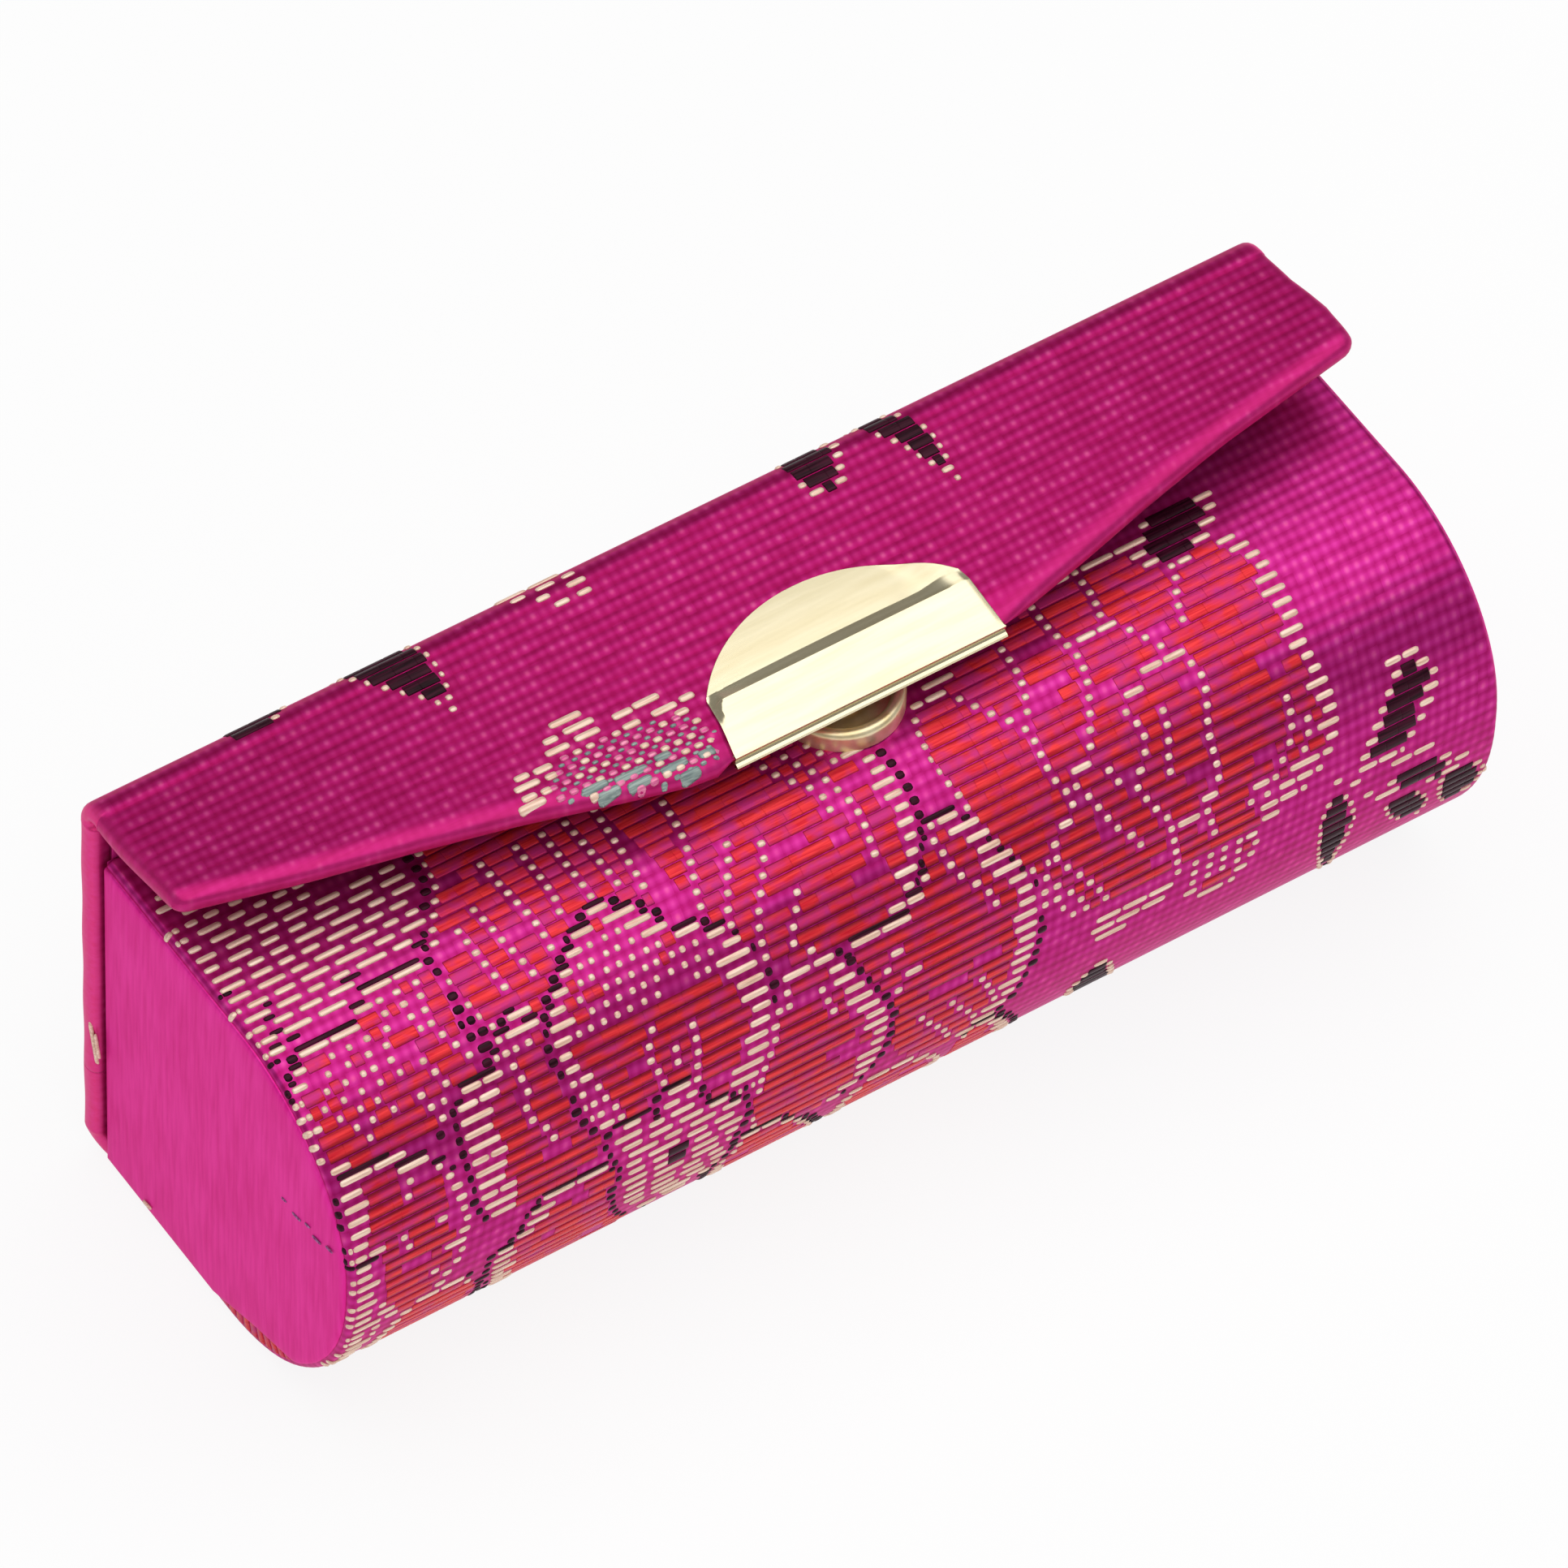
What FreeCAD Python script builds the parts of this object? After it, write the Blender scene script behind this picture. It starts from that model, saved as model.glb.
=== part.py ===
import FreeCAD, Part
import math
import os

# A brocade lipstick case: a card trough wrapped in silk brocade, with flat satin ends and an
# open back. A back lid with a mirror closes it, hinged on the cloth along its lower edge, and a
# tapered flap creased along the lid's upper edge folds over the top and snaps down.
# X runs along the case, -Y is the front, +Z is up and the table is Z = 0. All sizes are in mm.

# Cloth and card
brocade_thickness = 0.5
satin_thickness = 0.4
lining_thickness = 0.4
shell_board_thickness = 1.6
end_board_thickness = 1.6
lid_board_thickness = 1.3
flap_board_thickness = 1.1

# Case trough
case_length = 90.0
case_height = 31.4
overall_depth = 31.9
shoulder_radius = 13.0
front_straight = 1.0
toe_reach_share = 0.845
toe_radius_share = 0.85
satin_edge_inset = 0.2

# Lid and flap
lid_clearance = 0.3
hinge_slack = 0.4
panel_overhang = 0.7
lining_edge_inset = 1.0
flap_end_depth = 12.0
flap_corner_radius = 2.0

# Mirror
mirror_side_gap = 4.6
mirror_lower_gap = 2.4
mirror_upper_gap = 3.0
mirror_glass_thickness = 1.8
mirror_tape_thickness = 0.3
mirror_tape_inset = 3.0
mirror_edge_bevel = 0.5

# Clasp plate
clasp_offset = 2.5
clasp_width = 21.2
clasp_moon_rise = 4.9
clasp_strip_depth = 4.6
clasp_front_reach = 20.0
clasp_sheet = 0.5
clasp_emboss = 0.5
clasp_emboss_slope = 0.6
clasp_strip_drop = 1.6
clasp_lip_depth = 0.9
clasp_fit = 0.05

# Snap
socket_radius = 4.4
socket_rim_radius = 0.5
socket_height = 1.6
socket_floor = 0.5
stud_base_radius = 2.6
stud_base_thickness = 0.6
stud_boss_radius = 1.8
stud_boss_height = 0.7
stud_tip_gap = 0.2
stud_lip_gap = 0.2
rivet_radius = 0.95
rivet_fit = 0.05
rivet_head_radius = 1.6
rivet_head_thickness = 0.4
washer_radius = 3.0
washer_thickness = 0.4

# Cuts run this far past the faces that they open
overrun = 1.0

# Places that follow from the sizes above
back_y = overall_depth / 2
half_length = case_length / 2
half_panel = half_length + panel_overhang
cloth_end_x = half_length - satin_thickness
board_end_x = cloth_end_x - end_board_thickness
lining_end_x = board_end_x - lining_thickness
board_inset = brocade_thickness
lining_inset = board_inset + shell_board_thickness
cavity_inset = lining_inset + lining_thickness
lid_thickness = brocade_thickness + lid_board_thickness + lining_thickness
hinge_radius = lid_thickness + lid_clearance
rim_reach = hinge_radius
hinge_z = hinge_radius
socket_top_z = case_height + socket_height
stud_tip_z = socket_top_z + stud_tip_gap
stud_base_z = stud_tip_z + stud_boss_height
flap_under_z = stud_base_z + stud_base_thickness
flap_board_z = flap_under_z + lining_thickness
flap_brocade_z = flap_board_z + flap_board_thickness
flap_top_z = flap_brocade_z + brocade_thickness
crease_z = flap_top_z - hinge_radius
lid_low_z = hinge_z + hinge_slack
lid_high_z = crease_z - hinge_slack
flap_rear_reach = rim_reach + hinge_slack
strip_rear_reach = clasp_front_reach - clasp_strip_depth
strip_crest_reach = strip_rear_reach + clasp_emboss_slope
plate_top_z = flap_top_z + clasp_sheet
strip_crest_z = plate_top_z + clasp_emboss
strip_front_z = strip_crest_z - clasp_strip_drop
flap_front_reach = clasp_front_reach - clasp_sheet - clasp_fit
snap_reach = clasp_front_reach - clasp_lip_depth - stud_lip_gap - stud_base_radius
shoulder_centre = (overall_depth - shoulder_radius, case_height - shoulder_radius)
sweep_z = shoulder_centre[1] - front_straight
toe_reach = toe_reach_share * sweep_z
toe_radius = toe_radius_share * toe_reach
toe_centre = (overall_depth - toe_reach, toe_radius)
sweep_square = toe_reach ** 2 + sweep_z ** 2 - 2 * sweep_z * toe_radius
sweep_radius = sweep_square / (2 * (toe_reach - toe_radius))
sweep_centre = (overall_depth - sweep_radius, sweep_z)


def point(x, reach, height):
    """A point given by its place along the case, its reach forward of the lid's back and height."""
    return FreeCAD.Vector(x, back_y - reach, height)


def prism(runs, low_x, high_x):
    """Extrudes a closed cross-section along X; a run of two places is a line, of three an arc."""
    edges = []
    for run in runs:
        places = [point(low_x, reach, height) for reach, height in run]
        if len(places) == 2:
            edges.append(Part.LineSegment(*places).toShape())
        else:
            edges.append(Part.Arc(*places).toShape())
    face = Part.Face(Part.Wire(edges))
    return face.extrude(FreeCAD.Vector(high_x - low_x, 0, 0))


def outline(places):
    """Straight runs round a list of cross-section places."""
    return [(places[i], places[(i + 1) % len(places)]) for i in range(len(places))]


def slab(low_x, high_x, low_reach, high_reach, low_z, high_z):
    corner = point(low_x, high_reach, low_z)
    return Part.makeBox(high_x - low_x, high_reach - low_reach, high_z - low_z, corner)


def disc(radius, x, reach, low_z, high_z):
    return Part.makeCylinder(radius, high_z - low_z, point(x, reach, low_z))


def swing(centre, radius, first_degrees, last_degrees):
    """An arc run about a cross-section centre; 0 degrees points forward and 90 points up."""
    run = []
    for degrees in (first_degrees, (first_degrees + last_degrees) / 2, last_degrees):
        angle = math.radians(degrees)
        run.append((centre[0] + radius * math.cos(angle), centre[1] + radius * math.sin(angle)))
    return tuple(run)


def joined(outer, inner):
    """Closes two open chains of runs, which follow the same way, into one section."""
    back = [tuple(reversed(run)) for run in reversed(inner)]
    first = (outer[-1][-1], back[0][0])
    last = (back[-1][-1], outer[0][0])
    return outer + [first] + back + [last]


def case_chain(inset, with_base):
    """The trough's section from its top rim round the front to its toe, or on to its lower rim."""
    turn = math.degrees(math.atan2(toe_centre[1] - sweep_z, toe_centre[0] - sweep_centre[0]))
    top_z = case_height - inset
    front = overall_depth - inset
    chain = [
        ((rim_reach, top_z), (shoulder_centre[0], top_z)),
        swing(shoulder_centre, shoulder_radius - inset, 90, 0),
        ((front, shoulder_centre[1]), (front, sweep_z)),
        swing(sweep_centre, sweep_radius - inset, 0, turn),
        swing(toe_centre, toe_radius - inset, turn, -90),
    ]
    if with_base:
        chain.append(((toe_centre[0], inset), (rim_reach, inset)))
    return chain


def case_layer(outer_inset, inner_inset, end_x, with_base):
    section = joined(case_chain(outer_inset, with_base), case_chain(inner_inset, with_base))
    return prism(section, -end_x, end_x)


def end_sheet(inset, inner_x, outer_x, side):
    """A flat end piece of the trough's own section; side is -1 on the left and 1 on the right."""
    chain = case_chain(inset, True)
    section = chain + [(chain[-1][-1], chain[0][0])]
    low_x, high_x = sorted((side * inner_x, side * outer_x))
    return prism(section, low_x, high_x)


def case_cloth():
    base_rear = rim_reach + hinge_slack
    base = slab(-cloth_end_x, cloth_end_x, base_rear, toe_centre[0], 0, brocade_thickness)
    shell = case_layer(0, brocade_thickness, cloth_end_x, False)
    return {"base_brocade": base, "shell_brocade": shell.cut(socket_bore())}


def socket_bore():
    low_z = case_height - cavity_inset
    return disc(rivet_radius + rivet_fit, clasp_offset, snap_reach, low_z, case_height + overrun)


def washer_pocket_low_z():
    return case_height - lining_inset


def case_card():
    board = case_layer(board_inset, lining_inset, board_end_x, True)
    low_z = washer_pocket_low_z()
    pocket_radius = washer_radius + rivet_fit
    pocket = disc(pocket_radius, clasp_offset, snap_reach, low_z - overrun, low_z + washer_thickness)
    pieces = {"shell_board": board.cut(pocket).cut(socket_bore())}
    pieces["shell_lining"] = case_layer(lining_inset, cavity_inset, lining_end_x, True)
    for name, side in (("left", -1), ("right", 1)):
        pieces["end_board_" + name] = end_sheet(board_inset, board_end_x, cloth_end_x, side)
        pieces["end_satin_" + name] = end_sheet(satin_edge_inset, cloth_end_x, half_length, side)
        pieces["end_lining_" + name] = end_sheet(lining_inset, lining_end_x, board_end_x, side)
    return pieces


def snap_socket():
    """A spun dish with a rolled rim, its rivet, and the washer that the rivet grips under the card."""
    floor_z = case_height + socket_floor
    rim_z = socket_top_z - socket_rim_radius
    rim_centre = socket_radius - socket_rim_radius
    dish = disc(socket_radius, clasp_offset, snap_reach, case_height, rim_z)
    dish = dish.cut(disc(rim_centre - socket_rim_radius, clasp_offset, snap_reach, floor_z, rim_z + overrun))
    rim = Part.makeTorus(rim_centre, socket_rim_radius, point(clasp_offset, snap_reach, rim_z))
    dish = dish.fuse(rim).removeSplitter().cut(socket_bore())
    low_z = washer_pocket_low_z()
    rivet = disc(rivet_radius, clasp_offset, snap_reach, low_z, floor_z)
    head = disc(rivet_head_radius, clasp_offset, snap_reach, floor_z, floor_z + rivet_head_thickness)
    washer = disc(washer_radius, clasp_offset, snap_reach, low_z, low_z + washer_thickness)
    return {
        "snap_socket": dish,
        "socket_rivet": rivet.fuse(head).removeSplitter(),
        "socket_washer": washer.cut(socket_bore()),
    }


def cloth_turn(centre, first_degrees, low_lip, high_lip, end_x):
    """Brocade turning a quarter round a hinge line, with a straight lip at each end of the turn."""
    last_degrees = first_degrees + 90
    outer = swing(centre, hinge_radius, first_degrees, last_degrees)
    inner = swing(centre, hinge_radius - brocade_thickness, first_degrees, last_degrees)
    chains = []
    for turn in (outer, inner):
        start = (turn[0][0] + low_lip[0], turn[0][1] + low_lip[1])
        end = (turn[-1][0] + high_lip[0], turn[-1][1] + high_lip[1])
        chains.append([(start, turn[0]), turn, (turn[-1], end)])
    return prism(joined(*chains), -end_x, end_x)


def hinges():
    lower = cloth_turn((rim_reach, hinge_z), -180, (0, hinge_slack), (hinge_slack, 0), cloth_end_x)
    upper = cloth_turn((rim_reach, crease_z), 90, (hinge_slack, 0), (0, -hinge_slack), half_panel)
    return {"hinge_cloth": lower, "crease_cloth": upper}


def lid():
    board_reach = brocade_thickness + lid_board_thickness
    edge_x = half_panel - brocade_thickness
    low_z = lid_low_z + brocade_thickness
    high_z = lid_high_z - brocade_thickness
    board = slab(-edge_x, edge_x, brocade_thickness, board_reach, low_z, high_z)
    cloth = slab(-half_panel, half_panel, 0, board_reach, lid_low_z, lid_high_z).cut(board)
    lining_x = half_panel - lining_edge_inset
    lining = slab(-lining_x, lining_x, board_reach, lid_thickness,
                  lid_low_z + lining_edge_inset, lid_high_z - lining_edge_inset)
    return {"lid_board": board, "lid_brocade": cloth, "lid_lining": lining}


def mirror():
    low_z = cavity_inset + mirror_lower_gap
    high_z = case_height - cavity_inset - mirror_upper_gap
    half_width = lining_end_x - mirror_side_gap
    tape_x = half_width - mirror_tape_inset
    glass_reach = lid_thickness + mirror_tape_thickness
    tape = slab(-tape_x, tape_x, lid_thickness, glass_reach,
                low_z + mirror_tape_inset, high_z - mirror_tape_inset)
    face_reach = glass_reach + mirror_glass_thickness
    glass = slab(-half_width, half_width, glass_reach, face_reach, low_z, high_z)
    face_y = back_y - face_reach
    face_edges = [edge for edge in glass.Edges if abs(edge.CenterOfMass.y - face_y) < mirror_edge_bevel / 2]
    return {"mirror_tape": tape, "mirror_glass": glass.makeChamfer(mirror_edge_bevel, face_edges)}


def flap_sheet(inset, rear_inset, low_z, high_z):
    """A layer of the flap: straight ends, tapered front edges, and a straight front at the clasp."""
    half_width = half_panel - inset
    rear = flap_rear_reach + rear_inset
    side = flap_end_depth - inset
    front = flap_front_reach - inset
    half_front = clasp_width / 2 - inset
    places = [
        (-half_width, rear),
        (-half_width, side),
        (clasp_offset - half_front, front),
        (clasp_offset + half_front, front),
        (half_width, side),
        (half_width, rear),
    ]
    corners = [point(x, reach, low_z) for x, reach in places]
    face = Part.Face(Part.makePolygon(corners + corners[:1]))
    sheet = face.extrude(FreeCAD.Vector(0, 0, high_z - low_z))
    side_y = back_y - side
    tips = []
    for edge in sheet.Edges:
        middle = edge.CenterOfMass
        upright = edge.BoundBox.ZLength > (high_z - low_z) / 2
        if upright and abs(middle.y - side_y) < flap_corner_radius / 2:
            tips.append(edge)
    return sheet.makeFillet(flap_corner_radius - inset, tips)


def strip_top_z(reach):
    """Height of the clasp strip's upper face, which falls evenly from its crest to its front."""
    fall_share = (reach - strip_crest_reach) / (clasp_front_reach - strip_crest_reach)
    return strip_crest_z - fall_share * clasp_strip_drop


def clasp_room():
    """The space over the flap's front edge that the clasp's folded strip takes up."""
    rear = strip_crest_reach
    front = clasp_front_reach + overrun
    places = [
        (rear, strip_top_z(rear) - clasp_sheet - clasp_fit),
        (front, strip_top_z(front) - clasp_sheet - clasp_fit),
        (front, strip_crest_z + overrun),
        (rear, strip_crest_z + overrun),
    ]
    half_width = clasp_width / 2 + clasp_fit
    return prism(outline(places), clasp_offset - half_width, clasp_offset + half_width)


def stud_bore():
    return disc(rivet_radius + rivet_fit, clasp_offset, snap_reach, stud_base_z, flap_brocade_z)


def flap():
    room = clasp_room()
    board = flap_sheet(brocade_thickness, 0, flap_board_z, flap_brocade_z)
    cloth = flap_sheet(0, 0, flap_board_z, flap_top_z).cut(board).cut(room)
    lining = flap_sheet(lining_edge_inset, 0, flap_under_z, flap_board_z)
    head_low_z = flap_brocade_z - rivet_head_thickness
    head_room = disc(rivet_head_radius + rivet_fit, clasp_offset, snap_reach, head_low_z, flap_brocade_z)
    return {
        "flap_board": board.cut(room).cut(stud_bore()).cut(head_room),
        "flap_brocade": cloth,
        "flap_lining": lining.cut(stud_bore()),
    }


def clasp_plate():
    """Sheet metal: a half-moon lying on the cloth, a raised strip, and a lip folded under the edge."""
    half_width = clasp_width / 2
    left = clasp_offset - half_width
    right = clasp_offset + half_width
    low_z = flap_top_z
    moon_rear = strip_rear_reach - clasp_moon_rise
    ends = [point(left, strip_crest_reach, low_z), point(left, strip_rear_reach, low_z)]
    ends += [point(right, strip_rear_reach, low_z), point(right, strip_crest_reach, low_z)]
    arc = Part.Arc(ends[1], point(clasp_offset, moon_rear, low_z), ends[2]).toShape()
    sides = [Part.LineSegment(ends[0], ends[1]).toShape(), arc]
    sides += [Part.LineSegment(ends[2], ends[3]).toShape(), Part.LineSegment(ends[3], ends[0]).toShape()]
    moon = Part.Face(Part.Wire(sides)).extrude(FreeCAD.Vector(0, 0, clasp_sheet))
    inner_front = clasp_front_reach - clasp_sheet
    lip_rear = clasp_front_reach - clasp_lip_depth
    strip = [
        (strip_rear_reach, plate_top_z),
        (strip_crest_reach, strip_crest_z),
        (clasp_front_reach, strip_front_z),
        (clasp_front_reach, flap_under_z - clasp_sheet),
        (lip_rear, flap_under_z - clasp_sheet),
        (lip_rear, flap_under_z),
        (inner_front, flap_under_z),
        (inner_front, strip_top_z(inner_front) - clasp_sheet),
        (strip_crest_reach, strip_crest_z - clasp_sheet),
        (strip_rear_reach, plate_top_z - clasp_sheet),
    ]
    return {"clasp_plate": moon.fuse(prism(outline(strip), left, right)).removeSplitter()}


def snap_stud():
    """The stud under the flap, and the rivet whose head lies in the flap's card."""
    base = disc(stud_base_radius, clasp_offset, snap_reach, stud_base_z, flap_under_z)
    boss = disc(stud_boss_radius, clasp_offset, snap_reach, stud_tip_z, stud_base_z)
    stud = base.cut(stud_bore()).fuse(boss)
    head_low_z = flap_brocade_z - rivet_head_thickness
    rivet = disc(rivet_radius, clasp_offset, snap_reach, stud_base_z, head_low_z)
    head = disc(rivet_head_radius, clasp_offset, snap_reach, head_low_z, flap_brocade_z)
    return {"snap_stud": stud.removeSplitter(), "stud_rivet": rivet.fuse(head).removeSplitter()}


def main():
    os.makedirs("parts", exist_ok=True)
    groups = (case_cloth, case_card, snap_socket, hinges, lid, mirror, flap, clasp_plate, snap_stud)
    for group in groups:
        for name, shape in group().items():
            shape.exportStep("parts/" + name + ".step")


main()
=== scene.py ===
import math
import random
from collections import namedtuple

import bpy
import numpy as np
from mathutils import Matrix, Vector


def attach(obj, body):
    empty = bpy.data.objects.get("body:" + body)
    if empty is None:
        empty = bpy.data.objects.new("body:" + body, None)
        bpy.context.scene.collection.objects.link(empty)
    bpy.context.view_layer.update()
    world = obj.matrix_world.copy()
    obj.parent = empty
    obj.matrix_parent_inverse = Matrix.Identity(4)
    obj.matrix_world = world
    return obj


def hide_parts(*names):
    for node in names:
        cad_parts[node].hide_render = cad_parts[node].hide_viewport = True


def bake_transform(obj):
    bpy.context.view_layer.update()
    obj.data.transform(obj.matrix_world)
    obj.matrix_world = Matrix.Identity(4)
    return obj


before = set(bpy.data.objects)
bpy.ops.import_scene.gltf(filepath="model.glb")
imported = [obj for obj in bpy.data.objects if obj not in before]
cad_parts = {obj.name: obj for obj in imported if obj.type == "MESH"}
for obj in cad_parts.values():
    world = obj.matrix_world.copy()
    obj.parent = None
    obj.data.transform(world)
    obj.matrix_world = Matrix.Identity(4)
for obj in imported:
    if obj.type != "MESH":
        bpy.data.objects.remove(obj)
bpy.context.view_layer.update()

# Sizes, in millimetres
MM = 0.001
BACK_Y = 15.95            # the lid's back face
HALF_LENGTH = 45.0        # case, from its middle to an end
HALF_PANEL = 45.7         # lid and flap stand a little past the ends
CASE_TOP = 31.4
CASE_DEPTH = 31.9
RIM_REACH = 2.5           # the opening's plane, forward of the lid's back
SHOULDER = 13.0
FRONT_STRAIGHT = 1.0
SWEEP_TOP = CASE_TOP - SHOULDER - FRONT_STRAIGHT
TOE_REACH = 0.845 * SWEEP_TOP
TOE_RADIUS = 0.85 * TOE_REACH
SWEEP_RADIUS = ((TOE_REACH ** 2 + SWEEP_TOP ** 2 - 2 * SWEEP_TOP * TOE_RADIUS)
                / (2 * (TOE_REACH - TOE_RADIUS)))
SWEEP_CENTRE = CASE_DEPTH - SWEEP_RADIUS
TOE_CENTRE = CASE_DEPTH - TOE_REACH
WALL = 2.5                # brocade, card and lining together
LINING_END = 42.6         # inside length, from the middle
HINGE_RADIUS = 2.5        # outer radius of the cloth at hinge and crease
BASE_START = 9.0          # where the hinge's cloth begins under the case
CASE_EDGE = 0.5           # radius of the cloth where it turns over the case's ends
CASE_FLAT = HALF_LENGTH - 0.05 - CASE_EDGE
CREASE_Z = 34.0
FLAP_TOP = 36.5
CLASP_X = 2.5
CLASP_HALF = 10.6
ROW = 0.97                # from one weft row of the brocade to the next
PICK = 0.8                # from one warp pick to the next
LEAN = 0.14               # how far the picks lean along the case, by run
ROW_SHIFT = -0.08         # where the first row begins
RIB = 0.016               # how far a weft row stands up
CASE_CLOTH = 0.32         # thickness of the case's brocade
STRIP_CLOTH = 0.4         # of the hinge's strip
TROUGH_CLOTH = 0.25       # of the linings in the trough, on lid and flap and across the hinge
PANEL_LINING = 0.3
HINGE_LINING = 0.2
LINING_MARGIN = 1.3       # how far the panels' lining stays back from their edges
LINING_FOOT = 3.9         # where it begins on the lid
SIDE_ROUND = 0.9          # how far in from its sides a wrapped panel is rounded
FRONT_ROUND = 1.5         # and from its front edge
FAR = 99.0                # a distance from the front edge where nothing is rounded
UNWOVEN = -60.0           # a run that no pattern reaches
CORNER_START = 42.6       # where the hinge's cloth begins to be folded in at its ends
CORNER_WIDTH = 1.2


def at(x, reach, height):
    """A place given along the case, forward of the lid's back and above the table."""
    return Vector((x, BACK_Y - reach, height)) * MM


# Small helpers
def clamp(value):
    """A value held between nothing and one."""
    return min(1.0, max(0.0, value))


def ease(value):
    """From nothing to one, smoothly, as the value goes from nothing to one."""
    value = clamp(value)
    return value * value * (3 - 2 * value)


def linear(colour):
    """An sRGB hex colour as linear light."""
    parts = [int(colour[k:k + 2], 16) / 255 for k in (1, 3, 5)]
    return [p / 12.92 if p <= 0.04045 else ((p + 0.055) / 1.055) ** 2.4 for p in parts] + [1.0]


def set_inputs(tree, node, inputs):
    """Sets a node's inputs, each to a value or to another node's output."""
    for name, value in inputs.items():
        if isinstance(value, bpy.types.NodeSocket):
            tree.links.new(value, node.inputs[name])
        else:
            node.inputs[name].default_value = value


def add_node(tree, kind, inputs=None, **settings):
    """Adds a shader node with its settings and inputs."""
    node = tree.nodes.new(kind)
    for name, value in settings.items():
        setattr(node, name, value)
    set_inputs(tree, node, inputs or {})
    return node


def new_material(name):
    """A material with a principled surface: itself, its node tree and the surface's node."""
    material = bpy.data.materials.new(name)
    material.use_nodes = True
    tree = material.node_tree
    tree.nodes.clear()
    surface = add_node(tree, "ShaderNodeBsdfPrincipled")
    add_node(tree, "ShaderNodeOutputMaterial", {"Surface": surface.outputs["BSDF"]})
    return material, tree, surface


def ramp(tree, factor, *stops):
    """A colour ramp from (place, hex colour) stops."""
    node = add_node(tree, "ShaderNodeValToRGB", {"Fac": factor})
    while len(node.color_ramp.elements) < len(stops):
        node.color_ramp.elements.new(0.5)
    for element, (place, colour) in zip(node.color_ramp.elements, stops):
        element.position = place
        element.color = linear(colour)
    return node.outputs["Color"]


def maths(tree, operation, first, second=0.0, third=0.0):
    """One sum on values."""
    return add_node(tree, "ShaderNodeMath", {0: first, 1: second, 2: third}, operation=operation).outputs[0]


def spread(tree, value, low, high, at_low=0.0, at_high=1.0):
    """A value mapped from one range onto another and held at its ends."""
    inputs = {"Value": value, "From Min": low, "From Max": high, "To Min": at_low, "To Max": at_high}
    return add_node(tree, "ShaderNodeMapRange", inputs).outputs["Result"]


def mixed(tree, share, first, second, blend="MIX"):
    """Two colours, mixed by the second one's share."""
    inputs = {0: share, 6: first, 7: second}
    return add_node(tree, "ShaderNodeMix", inputs, data_type="RGBA", blend_type=blend).outputs[2]


def attribute(tree, name):
    """A value that the mesh carries at its points."""
    return add_node(tree, "ShaderNodeAttribute", attribute_name=name).outputs["Fac"]


def body_place(tree):
    """The place in the part's own space."""
    return add_node(tree, "ShaderNodeTexCoord").outputs["Object"]


def noise(tree, scale, detail):
    """Noise in the part's own space, by a scale along each axis."""
    place = add_node(tree, "ShaderNodeMapping", {"Vector": body_place(tree), "Scale": scale})
    inputs = {"Vector": place.outputs["Vector"], "Scale": 1.0, "Detail": detail}
    return add_node(tree, "ShaderNodeTexNoise", inputs).outputs["Fac"]


def bump(tree, strength, distance, height):
    """A normal that follows a height, over a distance in millimetres."""
    inputs = {"Strength": strength, "Distance": distance * MM, "Height": height}
    return add_node(tree, "ShaderNodeBump", inputs).outputs["Normal"]


def begin():
    """Object mode with nothing selected, before a new piece."""
    if bpy.context.object and bpy.context.object.mode != "OBJECT":
        bpy.ops.object.mode_set(mode="OBJECT")
    bpy.ops.object.select_all(action="DESELECT")


def take(piece):
    """Makes a piece the only one selected and the active one."""
    begin()
    piece.select_set(True)
    bpy.context.view_layer.objects.active = piece


def cover(piece, material):
    """Gives a piece one material."""
    piece.data.materials.clear()
    piece.data.materials.append(material)


def finish_piece(piece, material, sharp=None):
    """Gives a piece its material and smooth shading, which stops at a sharp angle if one is given."""
    cover(piece, material)
    take(piece)
    if sharp:
        bpy.ops.object.shade_smooth_by_angle(angle=math.radians(sharp))
    else:
        bpy.ops.object.shade_smooth()
    piece.select_set(False)


def apply_modifier(piece, kind, **settings):
    """Adds a modifier with its settings and applies it."""
    take(piece)
    modifier = piece.modifiers.new(kind.title(), kind)
    for name, value in settings.items():
        setattr(modifier, name, value)
    bpy.ops.object.modifier_apply(modifier=modifier.name)


def edit(piece):
    """Edit mode with all of a piece selected."""
    take(piece)
    bpy.ops.object.mode_set(mode="EDIT")
    bpy.ops.mesh.select_all(action="SELECT")


def turn_over(cloth):
    """Turns a cloth's faces the other way."""
    edit(cloth)
    bpy.ops.mesh.flip_normals()
    bpy.ops.object.mode_set(mode="OBJECT")


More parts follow.
